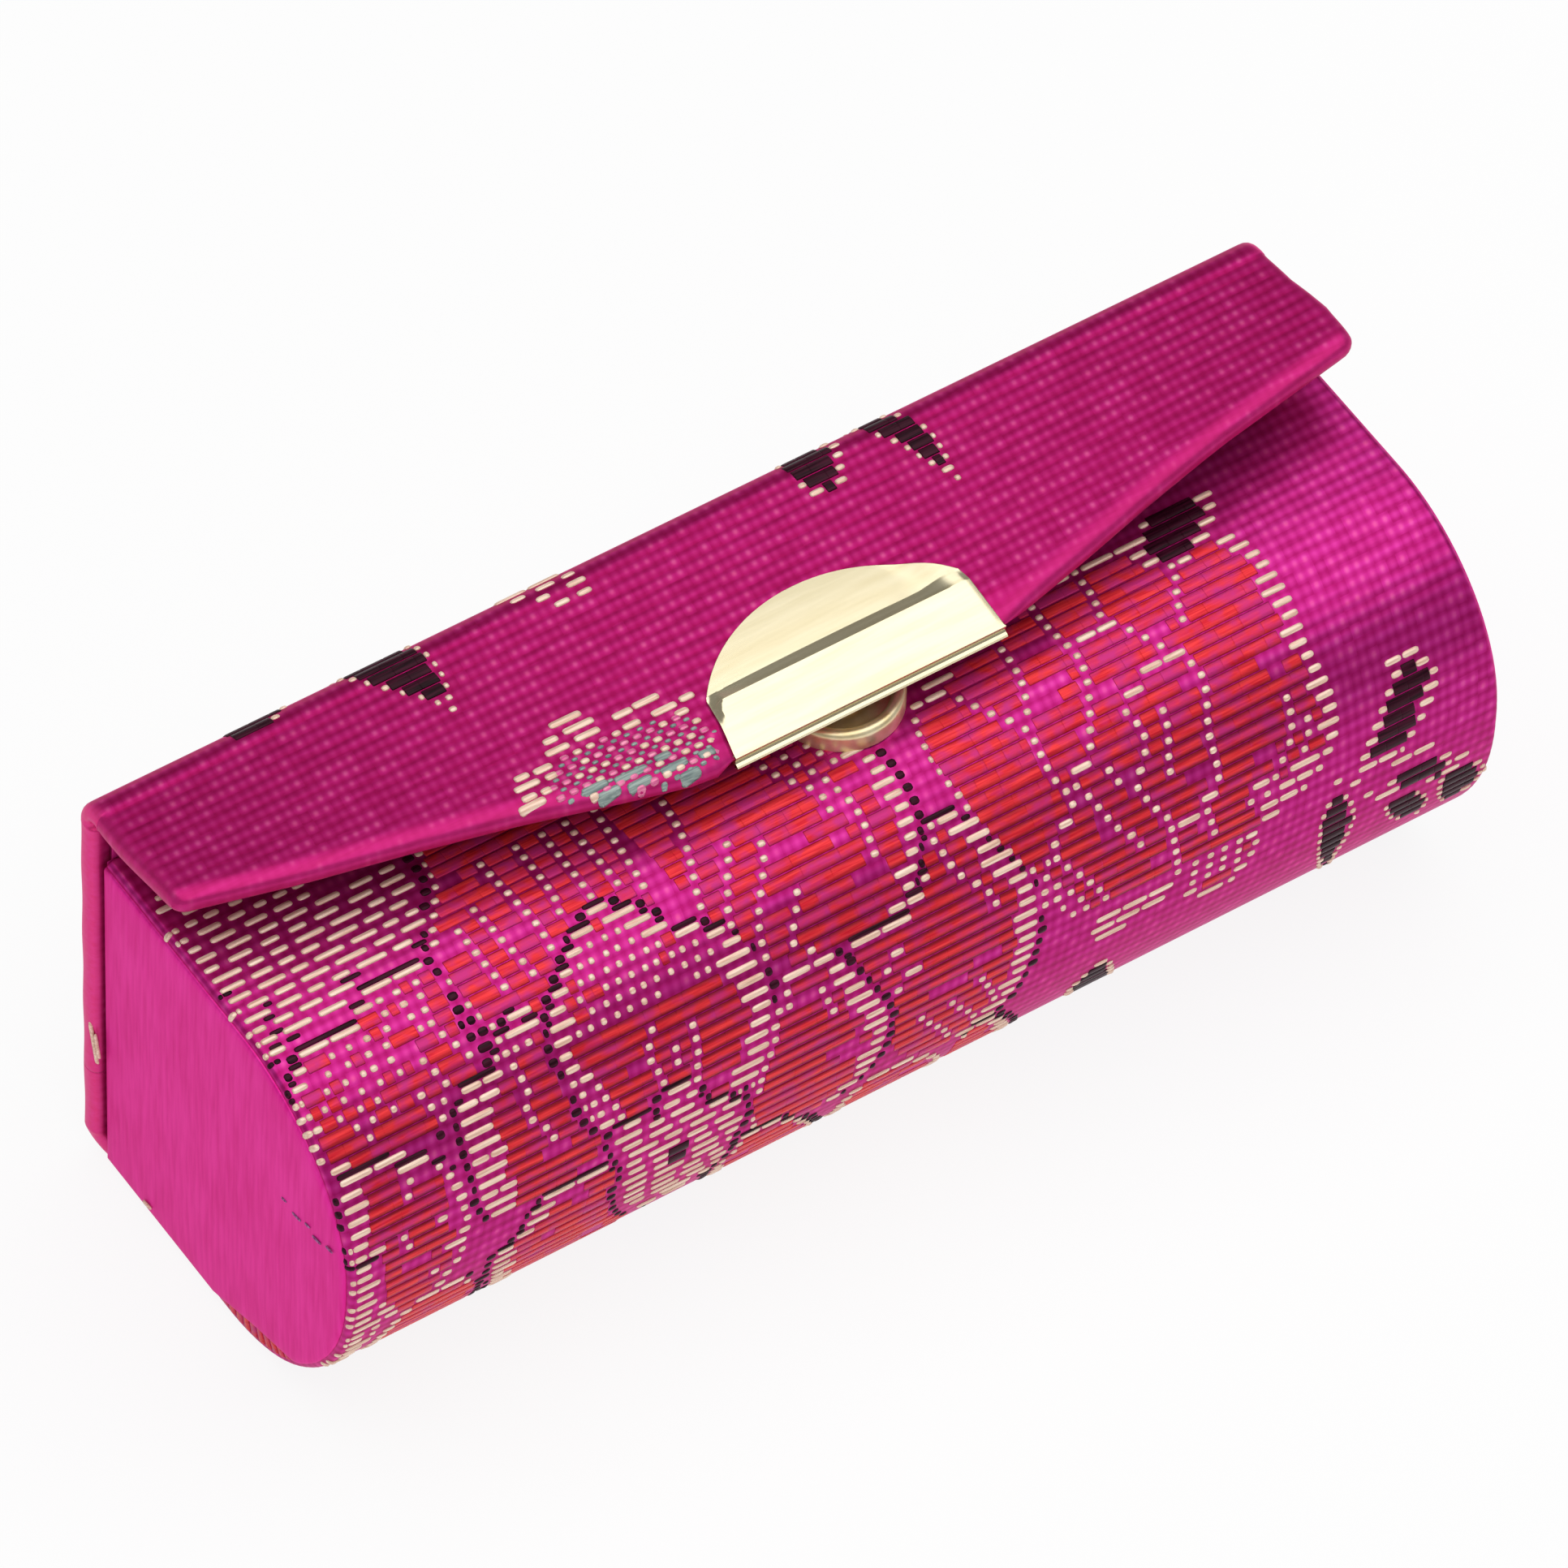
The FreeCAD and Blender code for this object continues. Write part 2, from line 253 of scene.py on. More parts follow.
# Materials
def silk_ground(name, furrow, crown):
    """Brocade ground: silk in low weft ribs crossed by the warp's picks, with a pale knot here and there."""
    material, tree, surface = new_material(name)
    weave = add_node(tree, "ShaderNodeUVMap", uv_map="weave").outputs["UV"]
    place = add_node(tree, "ShaderNodeSeparateXYZ", {"Vector": weave})

    def wave(value, pitch):
        turn = maths(tree, "MULTIPLY", value, math.pi / pitch)
        return maths(tree, "POWER", maths(tree, "SINE", turn), 2.0)

    def cell(value, pitch):
        return maths(tree, "FLOOR", maths(tree, "DIVIDE", value, pitch))

    run = place.outputs["Y"]
    along = maths(tree, "MULTIPLY_ADD", run, LEAN, place.outputs["X"])
    rib, pick = wave(run, ROW), wave(along, PICK)
    grid = maths(tree, "MULTIPLY_ADD", rib, 0.64, maths(tree, "MULTIPLY", pick, 0.36))
    cells = add_node(tree, "ShaderNodeCombineXYZ", {"X": cell(along, PICK), "Y": cell(run, ROW)})
    chance = add_node(tree, "ShaderNodeTexWhiteNoise", {"Vector": cells.outputs["Vector"]}).outputs["Value"]
    shade = maths(tree, "MULTIPLY_ADD", maths(tree, "SUBTRACT", chance, 0.5), 0.4, grid)
    # where the cloth is turned over an edge, its weave fades and it is lighter
    turned = attribute(tree, "turned_edge")
    shade = add_node(tree, "ShaderNodeMix", {0: turned, 2: shade, 3: 0.6}).outputs[0]
    bare = maths(tree, "MULTIPLY", maths(tree, "POWER", turned, 3.0), 0.7)
    bright = spread(tree, chance, 0.4, 1.0, 0.05, 0.4)
    bright = maths(tree, "MULTIPLY", bright, maths(tree, "SUBTRACT", 1.0, turned))
    knot = maths(tree, "POWER", maths(tree, "MULTIPLY", rib, pick), 2.0)
    knot = maths(tree, "MULTIPLY", knot, bright)
    colour = ramp(tree, shade, (0.0, furrow), (1.0, crown))
    colour = mixed(tree, knot, colour, linear("#F48CC8"))
    colour = mixed(tree, bare, colour, linear("#F856B0"))
    streaks = ramp(tree, noise(tree, (300, 2500, 2500), 3.0), (0.3, "#6C6C6C"), (0.7, "#949494"))
    set_inputs(tree, surface, {
        "Base Color": mixed(tree, 0.6, colour, streaks, "OVERLAY"),
        "Metallic": spread(tree, turned, 0.0, 1.0, 0.6, 0.35),      # the silk's own coloured gloss
        "Normal": bump(tree, 0.3, 0.02, maths(tree, "ADD", grid, knot)),
        "Roughness": 0.36,
        "Specular IOR Level": 0.25,
        "Specular Tint": linear("#FF70C0"),
    })
    return material


def silk_thread(name, dark, light, gloss, second=None, shade=None):
    """A weft float: a bundle of untwisted silk or foil-wrapped threads, streaked.

    second is a colour that comes in patches, the silk's own mottling, with a few more high on the case's top
    as a painted highlight where the top is lit; shade is a painted shade on the float's sides, darkest on the
    front's middle heights and lighter on the lit top and on the lower front."""
    material, tree, surface = new_material(name)
    strands = noise(tree, (350, 6000, 6000), 2.0)
    colour = ramp(tree, strands, (0.32, dark), (0.68, light))
    height = add_node(tree, "ShaderNodeSeparateXYZ", {"Vector": body_place(tree)}).outputs["Z"]

    def by_height(low, high, at_low, at_high):
        return spread(tree, height, low * MM, high * MM, at_low, at_high)

    if second:
        patch = noise(tree, (620, 950, 950), 2.0)
        # painted highlight: a few more rose patches high on the case, where its top is lit
        patch = maths(tree, "ADD", patch, by_height(27.5, 30.5, 0.0, 0.05))
        patch = maths(tree, "ADD", patch, spread(tree, attribute(tree, "tint"), 0.0, 1.0, -0.07, 0.09))
        colour = mixed(tree, spread(tree, patch, 0.44, 0.74), colour, linear(second))
    if shade:
        # painted shade on the float's sides: darkest on the front's middle heights, lighter on the lit top
        # and on the lower front that the floor lights
        near = spread(tree, attribute(tree, "side"), 0.25, 0.78)
        deep = maths(tree, "MULTIPLY", by_height(27.0, 31.0, 0.85, 0.15), by_height(11.0, 19.0, 0.2, 1.0))
        colour = mixed(tree, maths(tree, "MULTIPLY", near, deep), colour, linear(shade))
    set_inputs(tree, surface, {
        "Base Color": colour,
        "Metallic": gloss,      # the thread's own coloured gloss
        "Normal": bump(tree, 0.3, 0.05, strands),
        "Roughness": 0.4,
        "Specular IOR Level": 0.1,
    })
    return material


def plain_satin(name, dark, light, gloss):
    """Satin: long warp floats, so a smooth face with fine streaks up and down and a soft sheen."""
    material, tree, surface = new_material(name)
    streak = noise(tree, (900, 2600, 220), 4.0)
    patch = noise(tree, (160, 160, 160), 2.0)
    both = add_node(tree, "ShaderNodeMix", {0: 0.35, 2: streak, 3: patch}).outputs[0]
    set_inputs(tree, surface, {
        "Base Color": ramp(tree, both, (0.36, dark), (0.64, light)),
        "Metallic": gloss,      # silk's own coloured gloss
        "Normal": bump(tree, 0.25, 0.06, streak),
        "Roughness": 0.45,
        "Specular IOR Level": 0.1,
        "Specular Tint": linear("#FF6ABC"),
    })
    return material


def grey_board():
    """Grey board: pressed waste paper, flecked."""
    material, tree, surface = new_material("grey board")
    flecks = noise(tree, (1800, 1800, 1800), 4.0)
    colour = ramp(tree, flecks, (0.35, "#857A6A"), (0.65, "#A89C89"))
    set_inputs(tree, surface, {"Base Color": colour, "Roughness": 0.9})
    return material


def plated_metal(name, dark, light, low, high, grain, metal=1.0):
    """Plated sheet metal: polished, with faint wiping marks; its roughness goes from low to high."""
    material, tree, surface = new_material(name)
    marks = noise(tree, grain, 3.0)
    set_inputs(tree, surface, {
        "Base Color": ramp(tree, marks, (0.3, dark), (0.7, light)),
        "Metallic": metal,
        "Normal": bump(tree, 0.05, 0.02, marks),
        "Roughness": spread(tree, marks, 0.0, 1.0, low, high),
    })
    return material


def foam_tape():
    """White foam tape: closed cells, matt."""
    material, tree, surface = new_material("white foam tape")
    cells = add_node(tree, "ShaderNodeTexVoronoi", {"Vector": body_place(tree), "Scale": 4000.0})
    colour = ramp(tree, cells.outputs["Distance"], (0.1, "#C9C7C0"), (0.6, "#E8E6E0"))
    set_inputs(tree, surface, {"Base Color": colour, "Roughness": 0.85})
    return material


GROUND = silk_ground("silk brocade ground", "#C01C78", "#D838AA")
# on lid and flap the cloth lies the other way round; its ground is a darker copy, a painted shade, as the
# flap catches less of the silk's gloss than the case's top
SHADED_LID_GROUND = silk_ground("silk brocade ground turned round, painted darker", "#BC1464", "#CE288A")
SATIN = plain_satin("magenta satin", "#DE2590", "#EE3CA6", 0.4)
LINING = plain_satin("magenta lining satin", "#9E1660", "#B92276", 0.3)
CARD = grey_board()
CLASP_GOLD = plated_metal("pale gold plated brass", "#DCCFAA", "#EADFBE", 0.2, 0.28, (120, 1500, 1500))
SNAP_GOLD = plated_metal("gold plated brass", "#E8D09A", "#FAEBC4", 0.26, 0.42, (900, 900, 900), 0.8)
STEEL = plated_metal("plain steel", "#85857F", "#A5A5A0", 0.3, 0.45, (1500, 1500, 1500))
MIRROR = plated_metal("silvered glass", "#DDE2E2", "#EEF2F2", 0.01, 0.04, (60, 60, 60))
TAPE = foam_tape()

for finish, names in (
        (CARD, ("shell_board", "end_board_left", "end_board_right", "lid_board")),
        (SNAP_GOLD, ("snap_socket", "socket_rivet", "snap_stud")),
        (STEEL, ("socket_washer", "stud_rivet")),
        (MIRROR, ("mirror_glass",)),
        (TAPE, ("mirror_tape",))):
    for name in names:
        cover(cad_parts[name], finish)


# The case's outline
TOP_RUN = CASE_DEPTH - SHOULDER - RIM_REACH
SHOULDER_RUN = SHOULDER * math.pi / 2
SWEEP_TURN = math.atan2(SWEEP_TOP - TOE_RADIUS, TOE_CENTRE - SWEEP_CENTRE)
SWEEP_RUN = SWEEP_RADIUS * SWEEP_TURN
TOE_RUN = TOE_RADIUS * (math.pi / 2 - SWEEP_TURN)
FRONT_RUN = TOP_RUN + SHOULDER_RUN + FRONT_STRAIGHT + SWEEP_RUN + TOE_RUN
BASE_RUN = TOE_CENTRE - RIM_REACH
TOE_MIDDLE = FRONT_RUN - 4.0          # the satin leaves some brocade bare round this run
TOE_SPAN = 5.5
TOE_SHOWN = TOE_MIDDLE - TOE_SPAN


def arc(reach, height, radius, turn):
    """Reach, height and outward normal on an arc round a centre."""
    out, up = math.cos(turn), math.sin(turn)
    return reach + radius * out, height + radius * up, out, up


def outline(run):
    """The case's cross-section: reach, height and outward normal at a run from the back of the top."""
    if run < TOP_RUN:
        return RIM_REACH + run, CASE_TOP, 0.0, 1.0
    run -= TOP_RUN
    if run < SHOULDER_RUN:
        return arc(CASE_DEPTH - SHOULDER, CASE_TOP - SHOULDER, SHOULDER, math.pi / 2 - run / SHOULDER)
    run -= SHOULDER_RUN
    if run < FRONT_STRAIGHT:
        return CASE_DEPTH, CASE_TOP - SHOULDER - run, 1.0, 0.0
    run -= FRONT_STRAIGHT
    if run < SWEEP_RUN:
        return arc(SWEEP_CENTRE, SWEEP_TOP, SWEEP_RADIUS, -run / SWEEP_RADIUS)
    run -= SWEEP_RUN
    if run < TOE_RUN:
        return arc(TOE_CENTRE, TOE_RADIUS, TOE_RADIUS, -SWEEP_TURN - run / TOE_RADIUS)
    return TOE_CENTRE - (run - TOE_RUN), 0.0, 0.0, -1.0


def rib_height(run):
    """How far the weft rows lift the cloth's face at a run."""
    return RIB * (abs(math.sin(math.pi * (run - ROW_SHIFT) / ROW)) ** 0.7 - 0.6)


def on_case(x, run, lift=0.0):
    """A point on the case's cloth, lift above it."""
    reach, height, out, up = outline(run)
    return at(x, reach + out * lift, height + up * lift)


def steps(start, end, pitch):
    """Even places from start to end, about a pitch apart."""
    count = max(1, round(abs(end - start) / pitch))
    return [start + (end - start) * k / count for k in range(count + 1)]


def lay_grid(name, across, along, place):
    """A cloth of a grid's squares.

    place gives each corner's point, its place in the weave and, at will, how far it is turned over."""
    begin()
    bpy.ops.mesh.primitive_grid_add(x_subdivisions=len(across) - 1, y_subdivisions=len(along) - 1, size=1)
    cloth = bpy.context.object
    cloth.name = name
    spots = [place(a, b) for b in along for a in across]
    mesh = cloth.data
    mesh.vertices.foreach_set("co", np.array([s[0] for s in spots], np.float32).ravel())
    mesh.uv_layers[0].name = "weave"
    corners = np.zeros(len(mesh.loops), np.int32)
    mesh.loops.foreach_get("vertex_index", corners)
    weave = np.array([s[1] for s in spots], np.float32)
    mesh.uv_layers["weave"].data.foreach_set("uv", weave[corners].ravel())
    if len(spots[0]) > 2:
        turned = mesh.attributes.new("turned_edge", "FLOAT", "POINT")
        turned.data.foreach_set("value", np.array([s[2] for s in spots], np.float32))
    mesh.update()
    return cloth


# The case
def case_cloth():
    """The brocade over top, shoulder, front and base, turned in over the ends."""
    turn = [(CASE_FLAT + CASE_EDGE * math.sin(a), CASE_EDGE * (1 - math.cos(a)), CASE_FLAT + CASE_EDGE * a)
            for a in steps(0, math.pi / 2, math.pi / 10)[1:]]
    turned_run = CASE_FLAT + CASE_EDGE * math.pi / 2
    turn += [(CASE_FLAT + CASE_EDGE, CASE_EDGE + d, turned_run + d) for d in (0.5, 2.0)]
    middle = [(x, 0.0, x) for x in steps(-CASE_FLAT, CASE_FLAT, 3.0)]
    across = [(-x, d, -u) for x, d, u in reversed(turn)] + middle + turn
    base = TOE_CENTRE - BASE_START
    along = steps(FRONT_RUN + base, FRONT_RUN, 2.0)[:-1] + steps(FRONT_RUN, 0.0, ROW / 7)

    def place(column, run):
        x, depth, weave_x = column
        rise = rib_height(run) if run < FRONT_RUN else 0.0
        turned = min(1.0, depth) if run < TOE_SHOWN else 0.0
        return on_case(x, run, rise - depth), (weave_x, run - ROW_SHIFT), turned

    cloth = lay_grid("case_brocade", across, along, place)
    apply_modifier(cloth, "SOLIDIFY", thickness=CASE_CLOTH * MM, offset=-1.0)
    finish_piece(cloth, GROUND)
    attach(cloth, "case")
    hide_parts("shell_brocade", "base_brocade")


def end_outline(inset, rim, toe):
    """The end's outline from the rim's reach round, inset from the cloth and more at the toe."""
    places = []
    for run in steps(0.0, FRONT_RUN + BASE_RUN, 1.0):
        reach, height, out, up = outline(run)
        deep = inset + toe * max(0.0, 1 - ((run - TOE_MIDDLE) / TOE_SPAN) ** 2)
        places.append((max(reach - out * deep, rim), height - up * deep))
    top, low = CASE_TOP - inset, inset
    return places + [(rim, low + (top - low) * k / 15) for k in range(1, 15)]


def close_up(piece):
    """Merges what lies together, fills any open end and turns the faces outward."""
    edit(piece)
    bpy.ops.mesh.remove_doubles(threshold=2e-6)
    bpy.ops.mesh.select_all(action="DESELECT")
    bpy.ops.mesh.select_mode(type="EDGE")
    bpy.ops.mesh.select_non_manifold(extend=False, use_wire=False, use_multi_face=False,
                                     use_non_contiguous=False, use_verts=False)
    bpy.ops.mesh.edge_face_add()
    bpy.ops.mesh.select_mode(type="VERT")
    bpy.ops.mesh.select_all(action="SELECT")
    bpy.ops.mesh.normals_make_consistent(inside=False)
    bpy.ops.object.mode_set(mode="OBJECT")


def end_panel(name, side, start, rings, material, node, rim, toe):
    """A panel of cloth on an end: rings of its outline as (inset, share of the way out, rise)."""
    least = min(inset for inset, _, _ in rings)
    shapes = [end_outline(inset, rim + 0.5 * (inset - least), toe) for inset, _, _ in rings]
    turns = list(range(len(shapes[0]))) + [0]
    middle = (0.5 * CASE_DEPTH, 0.5 * CASE_TOP)

    def place(k, turn):
        inset, share, rise = rings[k]
        reach, height = shapes[k][turn]
        reach = middle[0] + share * (reach - middle[0])
        height = middle[1] + share * (height - middle[1])
        return at(side * (start + rise), reach, height), (reach, height)

    panel = lay_grid(name, range(len(rings)), turns, place)
    close_up(panel)
    finish_piece(panel, material)
    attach(panel, "case")
    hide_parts(node)


def end_cloths():
    """The satin on the outside of each end and the lining on its inside."""
    satin = [(0.5, 0.0, -0.12), (0.5, 1.0, -0.12), (0.46, 1.0, 0.04), (0.52, 1.0, 0.14), (0.7, 1.0, 0.21),
             (1.1, 1.0, 0.25), (2.4, 1.0, 0.29), (2.4, 0.75, 0.34), (2.4, 0.4, 0.37), (2.4, 0.0, 0.38)]
    lining = [(2.6, 0.0, 0.3), (2.6, 1.0, 0.3), (2.62, 1.0, 0.1), (2.8, 1.0, 0.03), (3.2, 1.0, 0.0),
              (3.2, 0.6, -0.03), (3.2, 0.0, -0.04)]
    for word, side in (("left", -1), ("right", 1)):
        end_panel(f"{word}_end_satin", side, HALF_LENGTH - 0.05, satin, SATIN, f"end_satin_{word}",
                  rim=RIM_REACH - 0.1, toe=1.3)
        end_panel(f"{word}_end_lining", side, LINING_END, lining, LINING, f"end_lining_{word}",
                  rim=RIM_REACH + 0.1, toe=0.0)


def trough_lining(hems):
    """The lining of the trough, from the rim round to the hinge."""
    along = steps(FRONT_RUN + BASE_RUN - 0.3, 0.3, 0.8)

    def place(x, run):
        return on_case(x, run, 0.1 - WALL), (x, run)

    cloth = lay_grid("trough_lining", steps(-LINING_END, LINING_END, 4.0), along, place)
    turn_over(cloth)
    apply_modifier(cloth, "SOLIDIFY", thickness=TROUGH_CLOTH * MM, offset=-1.0)
    finish_piece(cloth, LINING)
    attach(cloth, "case")
    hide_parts("shell_lining")


def rim_binding():
    """The strip of lining that covers the cards' edges round the opening."""
    section = [(0.0, 0.0), (0.0, 0.1), (0.04, 0.18), (0.12, 0.22), (0.5, 0.24), (0.88, 0.22), (0.96, 0.18),
               (1.0, 0.1), (1.0, 0.0), (0.0, 0.0)]
    outer = (HALF_LENGTH - 0.15, 0.4, CASE_TOP - 0.1)
    inner = (LINING_END - 0.1, WALL + 0.2, CASE_TOP - WALL - 0.2)

    def place(spot, corner):
        share, rise = spot
        half, low, high = [o + share * (i - o) for o, i in zip(outer, inner)]
        places = [(-half, low), (half, low), (half, high), (-half, high)]
        side, part = int(corner) % 4, corner % 1
        x, z = [a + part * (b - a) for a, b in zip(places[side], places[(side + 1) % 4])]
        return at(x, RIM_REACH - rise, z), (x, z)

    strip = lay_grid("rim_binding", section, steps(0, 4, 1 / 24), place)
    close_up(strip)
    finish_piece(strip, LINING)
    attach(strip, "case")
    return strip


# Lid, crease and flap
PLATE_Z = 37.05           # top of the clasp's half-moon
RIDGE_Z = 37.48           # top of the ridge across it
RIDGE_FOOT = 15.25        # reach of the ridge's rear foot and of its top
RIDGE_TOP = 16.35
RIDGE_SLOPE = 0.433       # fall of the strip in front of the ridge
MOON_RADIUS = 12.3
MOON_CENTRE = 22.77
DOME = 0.0022             # fall of the half-moon, by the square of the distance from its middle
STRIP_START = 15.4        # where the half-moon's arc ends and the strip's sides begin
STRIP_HALF = 9.85         # the strip's half width there
STRIP_FLARE = 0.65        # how much wider it is at its front
STRIP_DEPTH = 4.6
STRIP_END = 19.7          # where its front edge begins to fold under
CLASP_SHEET = 0.4         # thickness of the clasp's metal
SPLIT_Z = 9.0             # where the hinge's cloth and the lid's upper cloth meet on the lid's back
PANEL_CLOTH = 1.9         # lid and flap without their lining
CREASE_RUN = HINGE_RADIUS * math.pi / 2
LID_RUN = HINGE_RADIUS - CREASE_RUN     # the weave's run where the crease ends on the lid
HINGE_RUN = LID_RUN - (CREASE_Z - HINGE_RADIUS)     # and where the hinge begins at its foot
FRONT_EDGE = [
    (-HALF_PANEL, 11.9), (-37.1, 14.1), (-30.0, 15.5), (-23.1, 17.0), (-16.0, 18.9), (-11.0, 20.1),
    (-9.4, 20.2), (-7.6, 19.5), (13.6, 19.5), (20.8, 17.8), (27.1, 16.2), (33.2, 14.8), (HALF_PANEL, 12.7),
]


def flap_front(x):
    """How far forward the flap reaches: straight at the clasp, drawn back to the ends, corners rounded."""
    xs, reaches = zip(*FRONT_EDGE)
    reach = float(np.interp(x, xs, reaches))
    corner = 1.2
    past = max(0.0, abs(x) - (HALF_PANEL - corner)) / corner
    return reach - corner * (1 - math.sqrt(max(0.0, 1 - min(past, 1.0) ** 2))) * 0.8


def flap_lift(x, reach):
    """The flap's ends stand up a little, more at the front."""
    most, start, span = 0.95, 3.0, 8.5
    past = max(0.0, abs(x - CLASP_X) - CLASP_HALF) / (HALF_PANEL - CLASP_HALF)
    return most * min(past, 1.1) ** 1.4 * max(0.0, reach - start) / span


def beside_clasp(x):
    """One where the clasp holds the flap, falling to nothing beside it."""
    return ease(1 - (abs(x - CLASP_X) - CLASP_HALF + 0.2) / 1.5)


def clasp_press(x, reach):
    """How far the clasp's sloping strip presses the flap's front edge down."""
    start = 17.4
    return RIDGE_SLOPE * max(0.0, reach - start) * beside_clasp(x)


def clasp_squeeze(x, reach):
    """How far the clasp's folded lip presses the flap's underside up."""
    most, start, span = 0.7, 16.8, 1.6
    return most * ease((reach - start) / span) * beside_clasp(x)


def bullnose(distance, depth):
    """Share of the thickness left at a distance from a wrapped edge."""
    power = 2.3       # a little fuller than a half round
    left = max(0.0, 1 - distance / depth)
    return (1 - left ** power) ** (1 / power)


def panel_spot(x, step):
    """Up the lid and out along the flap: outer and inner place, weave run, distance from the front edge."""
    part, value = step
    if part == "lid":
        return (0.0, value), (PANEL_CLOTH, value), LID_RUN - (CREASE_Z - value), FAR
    if part == "crease":
        out, up = -math.cos(value), math.sin(value)
        outer, inner = [(HINGE_RADIUS + r * out, CREASE_Z + r * up)
                        for r in (HINGE_RADIUS, HINGE_RADIUS - PANEL_CLOTH)]
        return outer, inner, LID_RUN + HINGE_RADIUS * value, FAR
    reach = HINGE_RADIUS + value * (flap_front(x) - HINGE_RADIUS)
    lift = flap_lift(x, reach)
    top = FLAP_TOP + lift - clasp_press(x, reach)
    low = FLAP_TOP - PANEL_CLOTH + lift + clasp_squeeze(x, reach)
    return (reach, top), (reach, low), reach, flap_front(x) - reach


def wrapped_panel(name, half_at, spot_at, along):
    """A card wrapped in cloth: a tube of outer and inner faces, closed at its sides and ends."""
    near = [0.0, 0.03, 0.1, 0.22, 0.4, 0.65, 1.0, 1.6, 2.6]
    shares = [d / HALF_PANEL for d in near]
    shares += steps(4.0 / HALF_PANEL, 2 - 4.0 / HALF_PANEL, 1.9 / HALF_PANEL)
    shares += [2 - d / HALF_PANEL for d in reversed(near)]
    tour = [(s - 1, 1) for s in shares] + [(s - 1, -1) for s in reversed(shares)]

    def place(column, step):
        share, face = column
        half = half_at(step) + (right_end(step) if share > 0 else 0.0)
        x = share * half
        outer, inner, run, from_front = spot_at(x, step)
        from_end = half - abs(x)
        full = bullnose(from_end, SIDE_ROUND) * bullnose(from_front, FRONT_ROUND)
        reach, height = [(o + i) / 2 + face * full * (o - i) / 2 for o, i in zip(outer, inner)]
        # no ribs where the cloth turns over the edges
        flat = clamp(min(from_end - 0.3, (from_front - 0.7) * 0.8))
        if face < 0 and step[0] == "crease":
            # the crease's inner face is drawn in at its ends
            hollow = math.sin(2 * step[1]) * min(1.0, from_end / 0.1) * max(0.0, 1 - from_end / 2)
            x -= math.copysign(1.2 * hollow, x)
        if face > 0:
            rise = rib_height(run) * flat / math.dist(outer, inner)
            reach += rise * (outer[0] - inner[0])
            height += rise * (outer[1] - inner[1])
        return at(x, reach, height), (x, run - ROW_SHIFT), (1 - flat) * (0.6 if step[0] == "flap" else 1.0)

    panel = lay_grid(name, tour + tour[:1], along, place)
    close_up(panel)
    return panel


def panel_half(step):
    """The lid and flap's half length, a little uneven as hand-wrapped."""
    part, value = step
    if part == "flap":
        return HALF_PANEL + 0.1 * math.sin(5.0 * value) - 0.05
    return HALF_PANEL + 0.03 * math.sin(0.9 * value if part == "lid" else 2.0 * value)


def right_end(step):
    """How far the right end's wrapped edge stands out or back from straight."""
    part, value = step
    if part == "flap":
        return float(np.interp(value, (0.0, 0.3, 0.5, 0.7, 1.0), (-0.35, -0.3, 0.0, 0.25, 0.15)))
    return -0.35 * math.sin(value) if part == "crease" else 0.0


FLAP_STEPS = [("flap", s) for s in steps(0.0, 0.93, 1 / 120)[1:]
              + [0.94, 0.95, 0.96, 0.968, 0.976, 0.983, 0.989, 0.994, 0.998, 1.0]]
CREASE_STEPS = [("crease", a) for a in steps(0.0, math.pi / 2, math.pi / 52)]


def lid_and_flap_cloth():
    """The brocade round the lid, over the crease and round the flap, one strip."""
    along = [("lid", z) for z in steps(SPLIT_Z, CREASE_Z, ROW / 6)[:-1]] + CREASE_STEPS + FLAP_STEPS
    cloth = wrapped_panel("lid_and_flap_brocade", panel_half, panel_spot, along)
    finish_piece(cloth, SHADED_LID_GROUND)
    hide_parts("crease_cloth", "flap_brocade", "flap_board")
    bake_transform(cloth)


def hinge_spot(x, step):
    """As panel_spot, from under the case round the hinge and up the lid's back."""
    part, value = step
    if part == "base":
        return (value, 0.0), (value, STRIP_CLOTH), UNWOVEN + value, FAR
    # at its ends the cloth is folded in and closes the corner
    folded = ease((abs(x) - CORNER_START) / CORNER_WIDTH)
    if part == "hinge":
        out, down = -math.sin(value), -math.cos(value)
        inside_radius = HINGE_RADIUS - STRIP_CLOTH - (PANEL_CLOTH - STRIP_CLOTH) * folded
        outer, inner = [(HINGE_RADIUS + r * out, HINGE_RADIUS + r * down)
                        for r in (HINGE_RADIUS, inside_radius)]
        return outer, inner, HINGE_RUN - HINGE_RADIUS * (math.pi / 2 - value), FAR
    # the lid's card begins with a rounded edge
    grown = clamp((value - HINGE_RADIUS) / SIDE_ROUND)
    thick = STRIP_CLOTH + (PANEL_CLOTH - STRIP_CLOTH) * max(folded, math.sqrt(1 - (1 - grown) ** 2))
    return (0.0, value), (thick, value), LID_RUN - (CREASE_Z - value), FAR


def hinge_half(step):
    """The hinge strip's half length: the case's below, and the lid's above."""
    part, value = step
    narrow = HALF_LENGTH - 0.1
    if part == "base":
        return narrow
    if part == "hinge":
        return narrow + (HALF_PANEL - narrow) * value / (math.pi / 2)
    return panel_half(step)


def hinge_cloth():
    """The brocade from under the case round the hinge and up the lid's back."""
    along = [("base", t) for t in steps(BASE_START, HINGE_RADIUS, 0.8)[:-1]]
    along += [("hinge", a) for a in steps(0.0, math.pi / 2, math.pi / 52)]
    along += [("lid", z) for z in steps(HINGE_RADIUS, SPLIT_Z, ROW / 6)[1:]]
    cloth = wrapped_panel("hinge_brocade", hinge_half, hinge_spot, along)
    finish_piece(cloth, SHADED_LID_GROUND)
    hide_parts("hinge_cloth", "lid_brocade")
    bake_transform(cloth)


